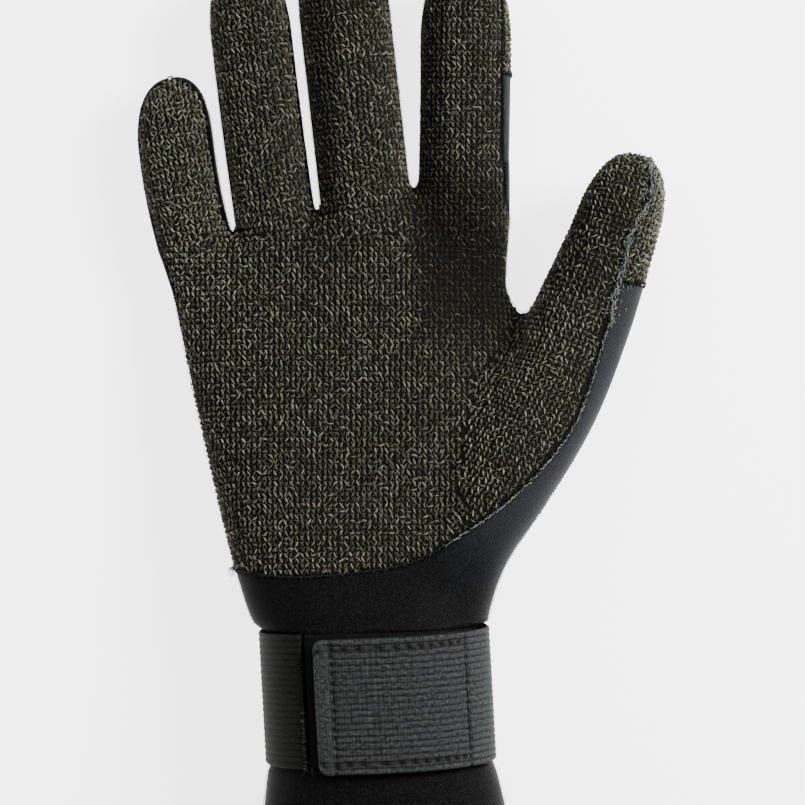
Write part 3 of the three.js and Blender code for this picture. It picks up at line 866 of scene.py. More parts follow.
def knitCells():
    sets = []
    start, steps, beside = knit["palmRows"]
    starts, ups = ridge(start, lambda p: np.array([[0, 1.0, 0]]), knit["course"], steps)
    cells = rowsFrom(starts, ups, knit["wale"], beside)
    wobble = rng.normal(0, 1.2, len(cells[0]))
    keep = cells[0][:, 1] < knit["fingerStart"] + 0.6 + 0.5 * wobble
    keep &= rightOfCrease(cells[0]) + wobble < 0
    sets.append([c[keep] for c in cells])
    along, height, steps, beside = knit["fingerRows"]
    for f, finger in enumerate(fingers):
        lean = math.radians(finger["lean"])
        axis = np.array([[-math.sin(lean), math.cos(lean), 0]])
        x, y = fingerLine(finger, along)
        starts, ups = ridge((float(x), float(y), height), lambda p: axis, knit["course"], steps, 0.93)
        cells = rowsFrom(starts, ups, knit["wale"], beside)
        keep = (cells[0][:, 1] > knit["fingerStart"] - 0.7) & (fingerOwner(cells[0]) == f)
        sets.append([c[keep] for c in cells])
    along, height, steps, beside = knit["thumbRows"]
    start = thumbLine[np.searchsorted(thumbReach, along)] + [0, 0, height]
    starts, ups = ridge(start, thumbDirection, knit["course"], steps, 0.93)
    cells = rowsFrom(starts, ups, knit["wale"], beside)
    keep = rightOfCrease(cells[0]) + rng.normal(0, 1.2, len(cells[0])) > -1
    sets.append([c[keep] for c in cells])
    return sets


def zoneValue(points, name):
    return sampleField(points, zones[name])


palmPlan = np.repeat(planDistance(palmOutline)[:, :, None], 2, 2)


def planValue(points):
    # distance from the palm's outline seen from above, negative inside it
    moved = points.copy()
    moved[:, 2] = grid["low"][2]
    return sampleField(moved, palmPlan)


def insideKnit(points):
    onThumb = smoothStep(points[:, 0], *knit["thumbEdge"])
    onThumb = onThumb * ((points[:, 1] < knit["crotchY"]) | (points[:, 0] > knit["thumbEdgeX"]))
    margin = knit["edgeGap"] + onThumb * (knit["edgeGapThumb"] - knit["edgeGap"])
    margin = margin + rng.normal(0, 0.18, len(points))
    palm = (zoneValue(points, "palm") < -knit["edgeGap"]) & (planValue(points) < -margin)
    caps = (zoneValue(points, "thumbCap") < -0.8) | (zoneValue(points, "indexCap") < -0.6)
    return palm | caps


neighbours = [(a, b, c) for a in (-1, 0, 1) for b in (-1, 0, 1) for c in (-1, 0, 1)]


def crowded(p, table, reach):
    i, j, k = (p // reach).astype(int)
    for a, b, c in neighbours:
        for q in table.get((i + a, j + b, k + c), ()):
            if (p - q) @ (p - q) < reach * reach:
                return True
    return False


def thinOut(sets):
    # drops stitches that would lie on others, and fills bare places
    table, kept = {}, []
    for cells in sets:
        good = insideKnit(cells[0])
        cells = [c[good] for c in cells]
        order = np.argsort(np.abs(cells[2]), kind="stable")
        cells = [c[order] for c in cells]
        chosen = []
        for k, p in enumerate(cells[0]):
            if not crowded(p, table, knit["closest"]):
                table.setdefault(tuple((p // knit["closest"]).astype(int)), []).append(p)
                chosen.append(k)
        kept.append([c[chosen] for c in cells])
    points, ups, number, row = (np.concatenate(c) for c in zip(*kept))
    tree = KDTree(len(points))
    for k, p in enumerate(points):
        tree.insert(p, k)
    tree.balance()
    spare = ontoSkin(skinPoints[insideKnit(skinPoints)])
    spare = spare[rng.permutation(len(spare))]
    extra, extraUp = [], []
    for p in spare:
        _, k, away = tree.find(p)
        if away > knit["gapFill"] and all((p - q) @ (p - q) > knit["gapFill"] ** 2 for q in extra):
            extra.append(p)
            extraUp.append(ups[k])
    print("stitches in rows", len(points), "filled", len(extra))
    points, ups = np.vstack([points, extra]), np.vstack([ups, extraUp])
    number = np.append(number, np.zeros(len(extra), int))
    row = np.append(row, rng.integers(0, 2, len(extra)))
    return points, ups, number, row


skinPoints, skinQuads = fieldMesh(skin)
cells, cellUps, cellNumber, cellRow = thinOut(knitCells())


def stitchLines(points, ups, number, row, under=False):
    # one stitch per cell, leaning left and right in turn up the column, or one that crosses under it
    n = len(points)

    def mess(size):
        return rng.normal(0, size, n)

    normal = skinNormal(points)
    up = unit(ups - (ups * normal).sum(1, keepdims=True) * normal)
    across = np.cross(up, normal)
    turn = np.where((row + (number * 7 % 3 == 0)) % 2 == 0, 1.0, -1.0)
    turn = np.where(rng.random(n) < 0.2, 1.0, turn)
    bridge = rng.random(n) < (0 if under else knit["bridge"])
    if under:
        turn = -1.1 * turn
    leaning, half = turn * knit["slant"] * knit["wale"], 0.49 * knit["course"]
    top = np.stack([mess(knit["mess"]) - leaning, half + mess(0.14)], 1)
    low = np.stack([mess(knit["mess"]) + leaning, -half + mess(0.1)], 1)
    side = np.where(rng.random(n) < 0.5, 1.0, -1.0)
    rise = side * np.abs(mess(0.35))
    top[bridge] = np.stack([-0.52 * knit["wale"] + mess(0.12), rise + mess(0.1)], 1)[bridge]
    low[bridge] = np.stack([0.52 * knit["wale"] + mess(0.12), -rise + mess(0.1)], 1)[bridge]
    bow = np.where(bridge, side * 0.32, mess(0.16))
    flat = top[:, None] * (1 - shares)[None, :, None] + low[:, None] * shares[None, :, None]
    lean = low - top
    sideways = unit(np.stack([-lean[:, 1], lean[:, 0]], 1))
    flat = flat + sideways[:, None] * (bow[:, None] * np.sin(math.pi * shares))[:, :, None]
    arch = (knit["lift"] + knit["sink"] - (0.2 if under else 0)) * np.array([0, 0.65, 1, 0.65, 0])
    height = arch[None] * (1 + mess(0.12))[:, None] - knit["sink"]
    lines = laid(points, (across, flat[:, :, 0]), (up, flat[:, :, 1]), (normal, height))
    radius = knit["radius"] * np.array([0.62, 0.95, 1.05, 0.95, 0.62])[None] * (1 + mess(0.12))[:, None]
    if under:
        bright = knit["underTone"] * np.exp(mess(0.35))
    else:
        bright = np.exp(mess(0.38)) * np.where(bridge, 0.55, np.where(turn > 0, 0.62, 0.42))
    return lines, normal[:, None], radius, bright


upper = stitchLines(cells, cellUps, cellNumber, cellRow)
lower = stitchLines(cells, cellUps, cellNumber, cellRow, under=True)
onCap = (zoneValue(cells, "thumbCap") < -0.5) | (zoneValue(cells, "indexCap") < -0.5)
owner = fingerOwner(cells)
belowCrotch = cells[:, 1] < knit["crotchY"]
onThumb = (rightOfCrease(cells) >= 0) & ~onCap & (belowCrotch | (cells[:, 0] > knit["thumbX"]))
onPalm = (cells[:, 1] < knit["fingerStart"]) & ~onThumb & ~onCap
onFingers = ~onPalm & ~onThumb & ~onCap
groups = {
    "heelStitches": onPalm & (cells[:, 1] < 0),
    "palmStitches": onPalm & (cells[:, 1] >= 0),
    "thumbStitches": onThumb,
    "capStitches": onCap,
    "littleRingStitches": onFingers & (owner < 2),
    "middleIndexStitches": onFingers & (owner >= 2),
}
# painted shade and painted light on the yarn, in spots: x, y, reach across and along, share; a share below
# zero is painted shade, above zero painted light
paintedLightAndShadeSpots = [
    (36, 42, 13.5, 25, -0.75),
    (46, 34, 9, 14, -0.4),
    (26, 85, 5.5, 50, -0.6),
    (-5.5, 90, 5.5, 50, -0.5),
    (74, 47, 13, 20, -0.3),
    (-47, 72, 14, 36, 0.3),
    (-38, 38, 12, 20, 0.15),
    (92, 55, 9, 12, 0.3),
]


# multiplies the yarn's tone by the spots of painted shade and painted light, and by the thumb cap's painted
# light
def paintedLightAndShade(points):
    lightAndShadeGain = np.where(zoneValue(points, "thumbCap") < -0.5, knit["capPaintedLight"], 1.0)
    for x, y, across, along, share in paintedLightAndShadeSpots:
        spot = ((points[:, 0] - x) / across) ** 4 + ((points[:, 1] - y) / along) ** 4
        lightAndShadeGain = lightAndShadeGain * (1 + share * np.exp(-spot))
    return lightAndShadeGain


# painted shade darkens the strands that cross under the stitches more than the stitches, so some stitches in
# the painted shade stay light
lightAndShadeGain = paintedLightAndShade(cells)
layers = [
    (lines, ups, radius, np.clip(bright * lightAndShadeGain**power, 0, 1))
    for (lines, ups, radius, bright), power in ((upper, 0.8), (lower, 1.6))
]
for name, chosen in groups.items():
    addStrands(name, [[part[chosen] for part in layer] for layer in layers], knitThread, "knit")


# seams: the line where a zone ends on the skin
def contourLines(points, tris, value):
    # chains the crossings of value = 0 over a triangle mesh into lines
    sign = value > 0
    mixed = tris[(sign[tris].any(1)) & (~sign[tris].all(1))]
    link = {}
    spot = {}
    for tri in mixed:
        ends = []
        for a, b in ((0, 1), (1, 2), (2, 0)):
            i, j = int(tri[a]), int(tri[b])
            if sign[i] != sign[j]:
                key = (min(i, j), max(i, j))
                if key not in spot:
                    t = value[i] / (value[i] - value[j])
                    spot[key] = points[i] + t * (points[j] - points[i])
                ends.append(key)
        link.setdefault(ends[0], []).append(ends[1])
        link.setdefault(ends[1], []).append(ends[0])
    lines, used = [], set()
    for start in sorted(link, key=lambda k: (len(link[k]), k)):
        if start in used:
            continue
        chain, here = [start], start
        used.add(start)
        while True:
            following = [k for k in link[here] if k not in used]
            if not following:
                break
            here = following[0]
            used.add(here)
            chain.append(here)
        lines.append((np.array([spot[k] for k in chain]), start in link[chain[-1]] and len(chain) > 4))
    return lines


def evenLine(points, step, closed=False, smoothing=4):
    if closed:
        points = np.vstack([points, points[:1]])
    for _ in range(smoothing):
        inner = (points[:-2] + 2 * points[1:-1] + points[2:]) / 4
        points = np.vstack([points[:1], inner, points[-1:]])
    reach = np.concatenate([[0], np.cumsum(np.linalg.norm(np.diff(points, axis=0), axis=1))])
    count = max(2, int(reach[-1] / step) + 1)
    at = np.linspace(0, reach[-1], count)
    return np.stack([np.interp(at, reach, points[:, k]) for k in range(3)], 1)


skinTris = np.concatenate([skinQuads[:, [0, 1, 2]], skinQuads[:, [0, 2, 3]]])
seamRings = {}
for name in ("palm", "thumbCap", "indexCap", "back"):
    found = contourLines(skinPoints, skinTris, zoneValue(skinPoints, name))
    seamRings[name] = [
        np.vstack([points, points[:1]]) if closed else points for points, closed in found if len(points) > 25
    ]
    print("seam", name, [len(ring) for ring in seamRings[name]])

seamThread = {
    # tone, mm that a stitch crosses, its radius and its height: on the heel, beside the thumb, at its tip
    "edge": [
        {"tone": 0.14, "reach": 0.8, "radius": 0.14, "lift": 0.2},
        {"tone": 0.22, "reach": 1.1, "radius": 0.14, "lift": 0.3},
        {"tone": 0.3, "reach": 1.7, "radius": 0.15, "lift": 0.4},
    ],
    "edgeSpacing": 0.62,  # mm between the stitches of the overlocked edge
    "edgeLean": 0.7,      # mm that a stitch slants along the edge
    # the thread that runs along the edge: tone, sideways wander, radius, height
    "cord": [(0.1, 0.1, 0.13, 0.2), (0.72, 0.15, 0.19, 0.5), (0.9, 0.3, 0.2, 0.65)],
    "cordStitch": 1.15,   # mm that one of its stitches runs along the edge
    "tipKink": 0.75,      # mm that the seam at the thumb's tip wanders
    "tipLength": 12,      # mm of the edge below the thumb's cap that are sewn as the tip is
    "heelEnd": 30,        # x where the seam of the heel turns into the seam beside the thumb
    "top": 70,            # the edge ends below this y
    "indexFoot": (60, 5),    # no edge nearer the palm than this x above this y
    "tipFuzz": (260, 1.5, 0.65),   # loose threads beside it: how many, spread in mm, tone
    "side": {"spacing": 0.9, "reach": 1.5, "lean": 0.8, "lift": 0.12, "radius": 0.13, "tone": 0.08},
    "cap": {
        "spacing": 0.8, "reach": 1.2, "lean": 0.5, "lift": 0.25, "radius": 0.14, "tone": 0.18, "mess": 0.25,
    },
    "back": {"spacing": 0.95, "reach": 1.6, "lean": 0.9, "lift": 0.1, "radius": 0.12, "tone": 0.05},
}
# stitching of the cuff's hem, in mm
hem = {"heights": (3.2, 5.0), "length": 2.2, "gap": 0.7, "radius": 0.16, "tone": 0.16}


def pathFrame(path):
    normal = skinNormal(path)
    ahead = unit(np.gradient(path, axis=0))
    return normal, ahead, np.cross(normal, ahead)


def seamStitches(path, spacing, reach, lean, lift, radius, tone, mess=0.1):
    # slanting threads that wrap over a seam
    path = evenLine(path, spacing)
    n = len(path)
    path = ontoSkin(path + rng.normal(0, mess * 0.6, path.shape))
    normal, ahead, across = pathFrame(path)
    arch = np.array([-0.45, 0.6, 1, 0.6, -0.45]) * lift
    size = 1 + rng.normal(0, mess, n)
    slant = lean * (1 + rng.normal(0, 0.35, n))
    lines = laid(path, (across, fromMiddle * reach * size[:, None]), (ahead, fromMiddle * slant[:, None]),
                 (normal, arch))
    radii = radius * np.array([0.7, 1, 1, 1, 0.7])[None] * size[:, None]
    return lines, normal[:, None], radii, varied(tone, 0.35, n)


def cordStitches(path, tone, wander, radius, height, kink):
    # short threads that run along a seam, each a little beside the last
    path = evenLine(path, seamThread["edgeSpacing"])
    n = len(path)
    normal, ahead, across = pathFrame(path)
    reach = np.arange(n) * seamThread["edgeSpacing"]
    waves = ((1.6, 0.33), (2.2, 0.71), (3.0, 1.37))
    bend = sum(np.sin(reach * w + rng.uniform(0, 6.3)) / k for k, w in waves)
    path = path + across * (kink * bend)[:, None]
    sideways = rng.normal(0, wander, n)
    turned = rng.normal(0, 2.2 * wander, n)
    rise = height * (np.array([0.3, 0.8, 1, 0.8, 0.3])[None] + rng.normal(0, 0.15, (n, 1)))
    lines = laid(path, (ahead, fromMiddle * seamThread["cordStitch"]),
                 (across, sideways[:, None] + turned[:, None] * fromMiddle), (normal, rise))
    radii = radius * np.array([0.6, 0.95, 1, 0.95, 0.6])[None] * (1 + rng.normal(0, 0.15, n))[:, None]
    return lines, normal[:, None], radii, varied(tone, 0.4, n)


def looseThreads(path):
    # short threads that lie in all directions beside a seam
    count, spread, tone = seamThread["tipFuzz"]
    spots = ontoSkin(path[rng.integers(0, len(path), count)] + rng.normal(0, spread, (count, 3)), 0.2)
    normal = skinNormal(spots)
    ways = unit(np.cross(normal, rng.normal(0, 1, (count, 3))))
    bend = rng.normal(0, 0.25, (count, 1)) * (1 - 4 * fromMiddle**2)
    length = rng.uniform(0.7, 1.5, (count, 1))
    rise = np.array([-0.25, 0.1, 0.25, 0.1, -0.25])
    lines = laid(spots, (ways, length * fromMiddle), (np.cross(normal, ways), bend), (normal, rise))
    radii = np.tile([0.08, 0.13, 0.14, 0.13, 0.08], (count, 1))
    return lines, normal[:, None], radii, varied(tone, 0.5, count, 0.05)


def hemStitches(height):
    # running stitches round the cuff, height mm above its mouth
    around = alongBody(skinPoints[:, 0], skinPoints[:, 1]) - (mouthY + height)
    fine, parts = 0.1, []
    every, step = round((hem["length"] + hem["gap"]) / fine), round(hem["length"] / 4 / fine)
    for points, closed in contourLines(skinPoints, skinTris, around):
        path = evenLine(points, fine, closed=closed)
        rows = np.arange(0, len(path) - every, every)[:, None] + np.arange(5)[None] * step
        lines = ontoSkin(path[rows].reshape(-1, 3)).reshape(-1, 5, 3)
        normal = skinNormal(lines[:, 2])
        lines = lines + normal[:, None] * np.array([-0.5, 0.0, 0.08, 0.0, -0.5])[None, :, None]
        radii = np.tile(hem["radius"] * np.array([0.7, 1, 1, 1, 0.7]), (len(lines), 1))
        parts.append((lines, normal[:, None], radii, varied(hem["tone"], 0.2, len(lines), 0)))
    return parts


def splitBy(points, test):
    # runs of a line where test holds
    runs, current = [], []
    for p, good in zip(points, test):
        if good:
            current.append(p)
        elif current:
            runs.append(np.array(current))
            current = []
    if current:
        runs.append(np.array(current))
    return [r for r in runs if len(r) > 6]


seamYarn = {
    "dark": (0.003, 0.003, 0.0035),
    "middle": (0.034, 0.036, 0.037),
    "light": (0.16, 0.165, 0.165),
    "roughness": 0.55,
    "fibre": 0.1,
}
seamMaterial = yarnMaterial("seamThread", seamYarn)

edgeParts, sideParts = [], []
for ring in seamRings["palm"]:
    # the overlocked edge runs from the heel to the thumb's tip, and plain seams take the rest
    onEdge = (np.abs(planValue(ring)) < 0.9) & (zoneValue(ring, "palm") > -1)
    onEdge &= ring[:, 1] < seamThread["top"]
    onEdge &= (ring[:, 0] >= seamThread["indexFoot"][0]) | (ring[:, 1] <= seamThread["indexFoot"][1])
    for run in splitBy(ring, onEdge):
        fine = evenLine(run, 0.4)
        tip = fine[:, 1] > capLineY - seamThread["tipLength"]
        low = (fine[:, 0] < seamThread["heelEnd"]) & ~tip
        for k, test in enumerate((low, ~low & ~tip, tip)):
            atTip = k == 2
            kink = seamThread["tipKink"] if atTip else 0
            for part in splitBy(fine, test):
                edgeParts.append(seamStitches(part, seamThread["edgeSpacing"], lean=seamThread["edgeLean"],
                                              mess=0.3, **seamThread["edge"][k]))
                for _ in range(2 if atTip else 1):
                    edgeParts.append(cordStitches(part, *seamThread["cord"][k], kink))
                if atTip:
                    edgeParts.append(looseThreads(part))
    sideParts += [seamStitches(run, **seamThread["side"]) for run in splitBy(ring, ~onEdge)]
capRings = seamRings["thumbCap"] + seamRings["indexCap"]
capParts = [seamStitches(ring, **seamThread["cap"]) for ring in capRings]
for ring in seamRings["back"]:
    inCuff = alongBody(ring[:, 0], ring[:, 1]) > mouthY + 0.5
    away = (zoneValue(ring, "palm") > 1.2) & (ring[:, 2] > 1.0) & inCuff
    sideParts += [seamStitches(run, **seamThread["back"]) for run in splitBy(ring, away)]
addStrands("overlockEdge", edgeParts, seamMaterial, "knit")
addStrands("capSeams", capParts, seamMaterial, "knit")
addStrands("sideSeams", sideParts, seamMaterial, "neoprene")
hemParts = [part for height in hem["heights"] for part in hemStitches(height)]
addStrands("hemStitches", hemParts, seamMaterial, "neoprene")

# the loose end of yarn where the knit stops at the outer edge of the wrist
tuft = {"at": (-31.5, -49.0, 21), "threads": 16, "length": (1.2, 3.0), "radius": 0.11, "tone": 0.45}


def tuftThreads():
    count = tuft["threads"]
    root = ontoSkin(np.array([tuft["at"]], float), rounds=6)[0] + rng.normal(0, 0.35, (count, 3))
    way = unit(np.array([-0.5, -0.75, 0.35]) + rng.normal(0, 0.45, (count, 3)))
    curlWay = np.cross(way, rng.normal(0, 1, (count, 3)))
    length = rng.uniform(*tuft["length"], count)
    lines = laid(root, (way, length[:, None] * shares), (curlWay, 0.5 * np.sin(shares * 3.5)))
    radii = tuft["radius"] * np.tile([1, 1, 0.9, 0.8, 0.5], (count, 1))
    return lines, unit(curlWay)[:, None], radii, varied(tuft["tone"], 0.4, count, 0.05)


addStrands("yarnTuft", [tuftThreads()], knitThread, "knit")

# the wrist strap, in mm and in degrees round the wrist, where 90 is on top
strap = {
    "ribs": 21,
    "ribDepth": 0.26,
    "bandStart": 123,
    "bandEnd": 472.4,
    "tabFold": 464.6,     # where the end is folded under
    "bendRadius": 27,     # turns degrees into mm along the band, for its weave
    "clearance": 0.3,     # between the wrist and the band
    "slope": 0.03,        # rise towards the fingertips for each mm to the thumb side
    "edgeRound": 0.35,
    "climbStart": 345,    # the band climbs here over the strips under the tab
    "climbEnd": 387.6,
    "tabBase": 3.1,       # height of the tab's underside over the wrist
    "drop": 1.2,          # how far the tab's end lies nearer the cuff
    "cornerRound": 3.0,
    "stitchInset": 2.9,   # from the tab's edges to its stitching
    "stitchDepth": 0.75,
    "stitchDegrees": 5.4,    # between two needle holes along the tab
    "stitchStart": 405.5,    # the far end of the sewn part of the tab
    "crossStitch": (405.5, 464.4),
    "crossPitch": 2.6,    # between the holes of the lines across the tab
}
wristMiddleZ = standOff + hand["wristDepth"] / 2


def roundShare(v):
    # a cosine or sine, bent to the roundness of the wrist's section
    return np.sign(v) * np.abs(v) ** (2 / hand["power"])


def strapPoint(angle, off, y):
    a = np.radians(angle)
    middle = hand["wristMiddle"] + hand["wristSkew"] * (strapY - y)
    x = middle + (hand["wristWidth"] / 2 + off) * roundShare(np.cos(a))
    z = wristMiddleZ + (hand["wristDepth"] / 2 + off) * roundShare(np.sin(a))
    lowered = strap["drop"] * smoothStep(angle, 360, strap["bandEnd"])
    return np.stack([x, y + strap["slope"] * x - lowered, z], -1)


def rim(share):
    # how far a rounded edge lies below the top, share of the way onto it
    return strap["edgeRound"] * (1 - np.sqrt(np.clip(1 - (1 - share) ** 2, 0, 1)))


def straight(angle):
    return np.zeros_like(angle)


def always(size):
    return lambda angle: np.full_like(angle, size)


def strapMesh(angles, base, thick, relief, rows, inset=straight):
    # a strip bent round the wrist: ribbed outside, plain inside
    def across(angle, v):
        return strapEndY + inset(angle) + v * (strapWidth - 2 * inset(angle))

    angle, v = np.meshgrid(angles, np.linspace(0, 1, rows), indexing="ij")
    edge = np.clip(np.minimum(v, 1 - v) * strapWidth / 0.8, 0, 1)
    ends = np.clip(np.minimum(angle - angles[0], angles[-1] - angle) / 1.2, 0, 1)
    height = base(angle) + thick(angle) - (rim(edge) + rim(ends)) + relief(angle, v)
    under, w = np.meshgrid(angles, np.linspace(1, 0, 12)[1:-1], indexing="ij")
    section = np.concatenate([strapPoint(angle, height, across(angle, v)),
                              strapPoint(under, base(under), across(under, w))], 1)
    n, m = section.shape[:2]
    i, j = np.meshgrid(np.arange(n - 1), np.arange(m), indexing="ij")
    a, b = i * m + j, i * m + (j + 1) % m
    quads = np.stack([a, b, b + m, a + m], -1).reshape(-1, 4)
    tris = [quads[:, [0, 1, 2]], quads[:, [0, 2, 3]]]
    # both ends closed with a fan round their middle
    ring = np.arange(m)
    following = (ring + 1) % m
    last = (n - 1) * m
    tris.append(np.stack([np.full(m, n * m), following, ring], 1))
    tris.append(np.stack([ring + last, following + last, np.full(m, n * m + 1)], 1))
    points = np.vstack([section.reshape(-1, 3), section[0].mean(0), section[-1].mean(0)])
    around = np.concatenate([angle, under], 1).ravel() * math.radians(strap["bendRadius"])
    marks = {
        "around": np.append(around, [around[0], around[-1]]),
        "across": np.append(np.concatenate([v, w], 1).ravel() * strapWidth, [strapWidth / 2] * 2),
        "rib": np.append(np.concatenate([ribShare(angle, v), ribShare(under, w)], 1).ravel(), [0.5, 0.5]),
    }
    return points, np.concatenate(tris)[:, ::-1], marks


def ribShare(angle, v):
    # 0 in a groove between two ribs, 1 on top of a rib. the ribs waver a little
    waver = 0.0032 * np.sin(angle * 0.31 + v * 7) + 0.002 * np.sin(angle * 0.83 - v * 19)
    return np.abs(np.sin(math.pi * strap["ribs"] * (v + waver * np.sin(math.pi * v))))


def onSewnTab(angle):
    return smoothStep(angle, strap["stitchStart"] - 0.4, strap["stitchStart"] + 0.4)


def needleHoles(angle, v):
    # 1 where the sewing pulls the tab down, along its edges and across it
    y = v * strapWidth
    inset = np.minimum(np.abs(y - strap["stitchInset"]), np.abs(strapWidth - y - strap["stitchInset"]))
    holes = 0.55 + 0.45 * np.cos(2 * math.pi * angle / strap["stitchDegrees"])
    share = onSewnTab(angle) * holes * np.exp(-(inset / 0.6) ** 2)
    for at in strap["crossStitch"]:
        holes = 0.6 + 0.4 * np.cos(2 * math.pi * y / strap["crossPitch"])
        share = np.maximum(share, 0.85 * holes * np.exp(-(angle - at) ** 2))
    return share


def foldShare(angle):
    return smoothStep(angle, strap["tabFold"] - 0.4, strap["tabFold"] + 1)


def bandRelief(angle, v):
    relief = strap["ribDepth"] * (ribShare(angle, v) ** 0.6 - 1)
    relief = relief - strap["stitchDepth"] * needleHoles(angle, v)
    folded = foldShare(angle)
    soften = smoothStep(angle, strap["bandEnd"] - 1.5, strap["bandEnd"])
    rough = 0.14 * folded * np.sin(v * 173 + 5 * np.sin(angle * 2.1)) * np.sin(angle * 3.7 + v * 31)
    return relief * (1 - 0.45 * folded) - 0.3 * soften + rough - 0.14 * folded


def bandBase(angle):
    climb = smoothStep(angle, strap["climbStart"], strap["climbEnd"])
    return strap["clearance"] + (strap["tabBase"] - strap["clearance"]) * climb


def bandThick(angle):
    return strapThick * (1 + 0.45 * smoothStep(angle, strap["tabFold"] - 0.5, strap["tabFold"] + 0.8))


def tabCorner(angle):
    left = np.clip((strap["bandEnd"] - angle) * 0.52, 0, strap["cornerRound"])
    r = strap["cornerRound"]
    return r - np.sqrt(np.clip(r * r - (r - left) ** 2, 0, None))


elasticLook = {
    "rib": (0.0185, 0.0208, 0.0205),
    "groove": (0.0045, 0.0052, 0.0052),
    "foldColour": (0.0210, 0.0240, 0.0235),
    "hole": (0.0022, 0.0024, 0.0024),
    # olive tint of the band's left piece, made darker as painted shade where the band turns away from the key
    # lamp
    "shadedOlive": (0.0042, 0.0045, 0.0034),
    "shadedOliveGroove": (0.0004, 0.0004, 0.0004),
    "threadPitch": 0.62,
    "roughness": 0.7,
}


def elasticMaterial():
    material, tree, shader = newMaterial("ribbedElastic")
    look = elasticLook
    marks = ("around", "across", "tone", "rib", "hole", "fold")
    around, across, tone, rib, hole, fold = (attribute(tree, mark) for mark in marks)
    onStrap = addNode(tree, "ShaderNodeCombineXYZ", {0: around, 1: across}).outputs[0]
    weave = noise(tree, 1.15, 3.0, 0.7, onStrap)
    threads = stripes(tree, onStrap, look["threadPitch"], 3.0, 3.0)
    colour = ramp(tree, rib, [(0.1, look["groove"]), (0.75, look["rib"])])
    colour = mixColours(tree, "MIX", fold, colour, (*look["foldColour"], 1))
    # painted shade: the darker olive colour on the band's left piece
    shadedOlive = ramp(tree, rib, [(0.1, look["shadedOliveGroove"]), (0.75, look["shadedOlive"])])
    colour = mixColours(tree, "MIX", tone, colour, shadedOlive)
    grain = timesPlus(tree, threads, 0.5, timesPlus(tree, weave, 4.6, -1.55))
    grain = addNode(tree, "ShaderNodeClamp", {"Value": grain, "Min": 0.22, "Max": 2.4}).outputs[0]
    colour = mixColours(tree, "MULTIPLY", 1, colour, grain)
    colour = mixColours(tree, "MIX", hole, colour, (*look["hole"], 1))
    finishSurface(tree, shader, colour, look["roughness"], 0.08, timesPlus(tree, threads, 0.3, weave), 0.1)
    return material


elastic = elasticMaterial()
bandAngles = np.concatenate([
    np.arange(strap["bandStart"], strap["climbStart"], 2.0),
    np.arange(strap["climbStart"], strap["bandEnd"] + 1e-6, 0.8),
    [strap["bandEnd"]],
])
points, tris, marks = strapMesh(bandAngles, bandBase, bandThick, bandRelief, strap["ribs"] * 4 + 1, tabCorner)
angleAt = marks["around"] / math.radians(strap["bendRadius"])
# painted shade: the band takes the darker olive colour on its left side and towards its underside
marks["tone"] = smoothStep(angleAt, 250, 160)
marks["fold"] = 0.8 * foldShare(angleAt)
marks["hole"] = np.clip(1.1 * needleHoles(angleAt, marks["across"] / strapWidth), 0, 1)
place(meshObject("wristStrap", points, tris, elastic, marks), "elastic", "strap_band")


def tabStitches():
    # sewing on the tab: a thread between each pair of needle holes
    step, pitch = strap["stitchDegrees"], strap["crossPitch"]
    inset = strap["stitchInset"] / strapWidth
    onThread = 0.12 + 0.76 * shares
    arch = np.array([-0.5, 0.1, 0.25, 0.1, -0.5])
    lines = []
    for v in (inset, 1 - inset):
        for k in range(int((strap["bandEnd"] - 3 - strap["stitchStart"]) / step)):
            start = (math.floor(strap["stitchStart"] / step) + 1 + k) * step
            wander = rng.normal(0, 0.004)
            angles = start + step * onThread
            off = bandBase(angles) + bandThick(angles) + arch * 0.5 - 0.05
            y = strapEndY + (v + wander) * strapWidth + rng.normal(0, 0.05, 5)
            lines.append(strapPoint(angles, off, y))
    for at in strap["crossStitch"]:
        for k in range(2, int(strapWidth / pitch) - 2):
            angles = np.full(5, at) + rng.normal(0, 0.12)
            off = bandBase(angles) + bandThick(angles) + arch * 0.45 - 0.1
            lines.append(strapPoint(angles, off, strapEndY + pitch * (k + onThread)))
    return np.array(lines)


def outwardFromWrist(lines):
    outward = lines - np.array([hand["wristMiddle"], 0, wristMiddleZ])
    outward[:, :, 1] = 0
    return unit(outward)


def addStrapThreads(name, lines, radii, tone):
    part = (lines, outwardFromWrist(lines), np.tile(radii, (len(lines), 1)), tone)
    addStrands(name, [part], seamMaterial, "elastic")


lines = tabStitches()
addStrapThreads("tabStitches", lines, [0.16, 0.2, 0.22, 0.2, 0.16], varied(0.30, 0.25, len(lines), 0))

frayed = {"threads": 120, "reach": 0.98, "bright": 0.34, "hanging": 7, "hangingBright": 0.2}


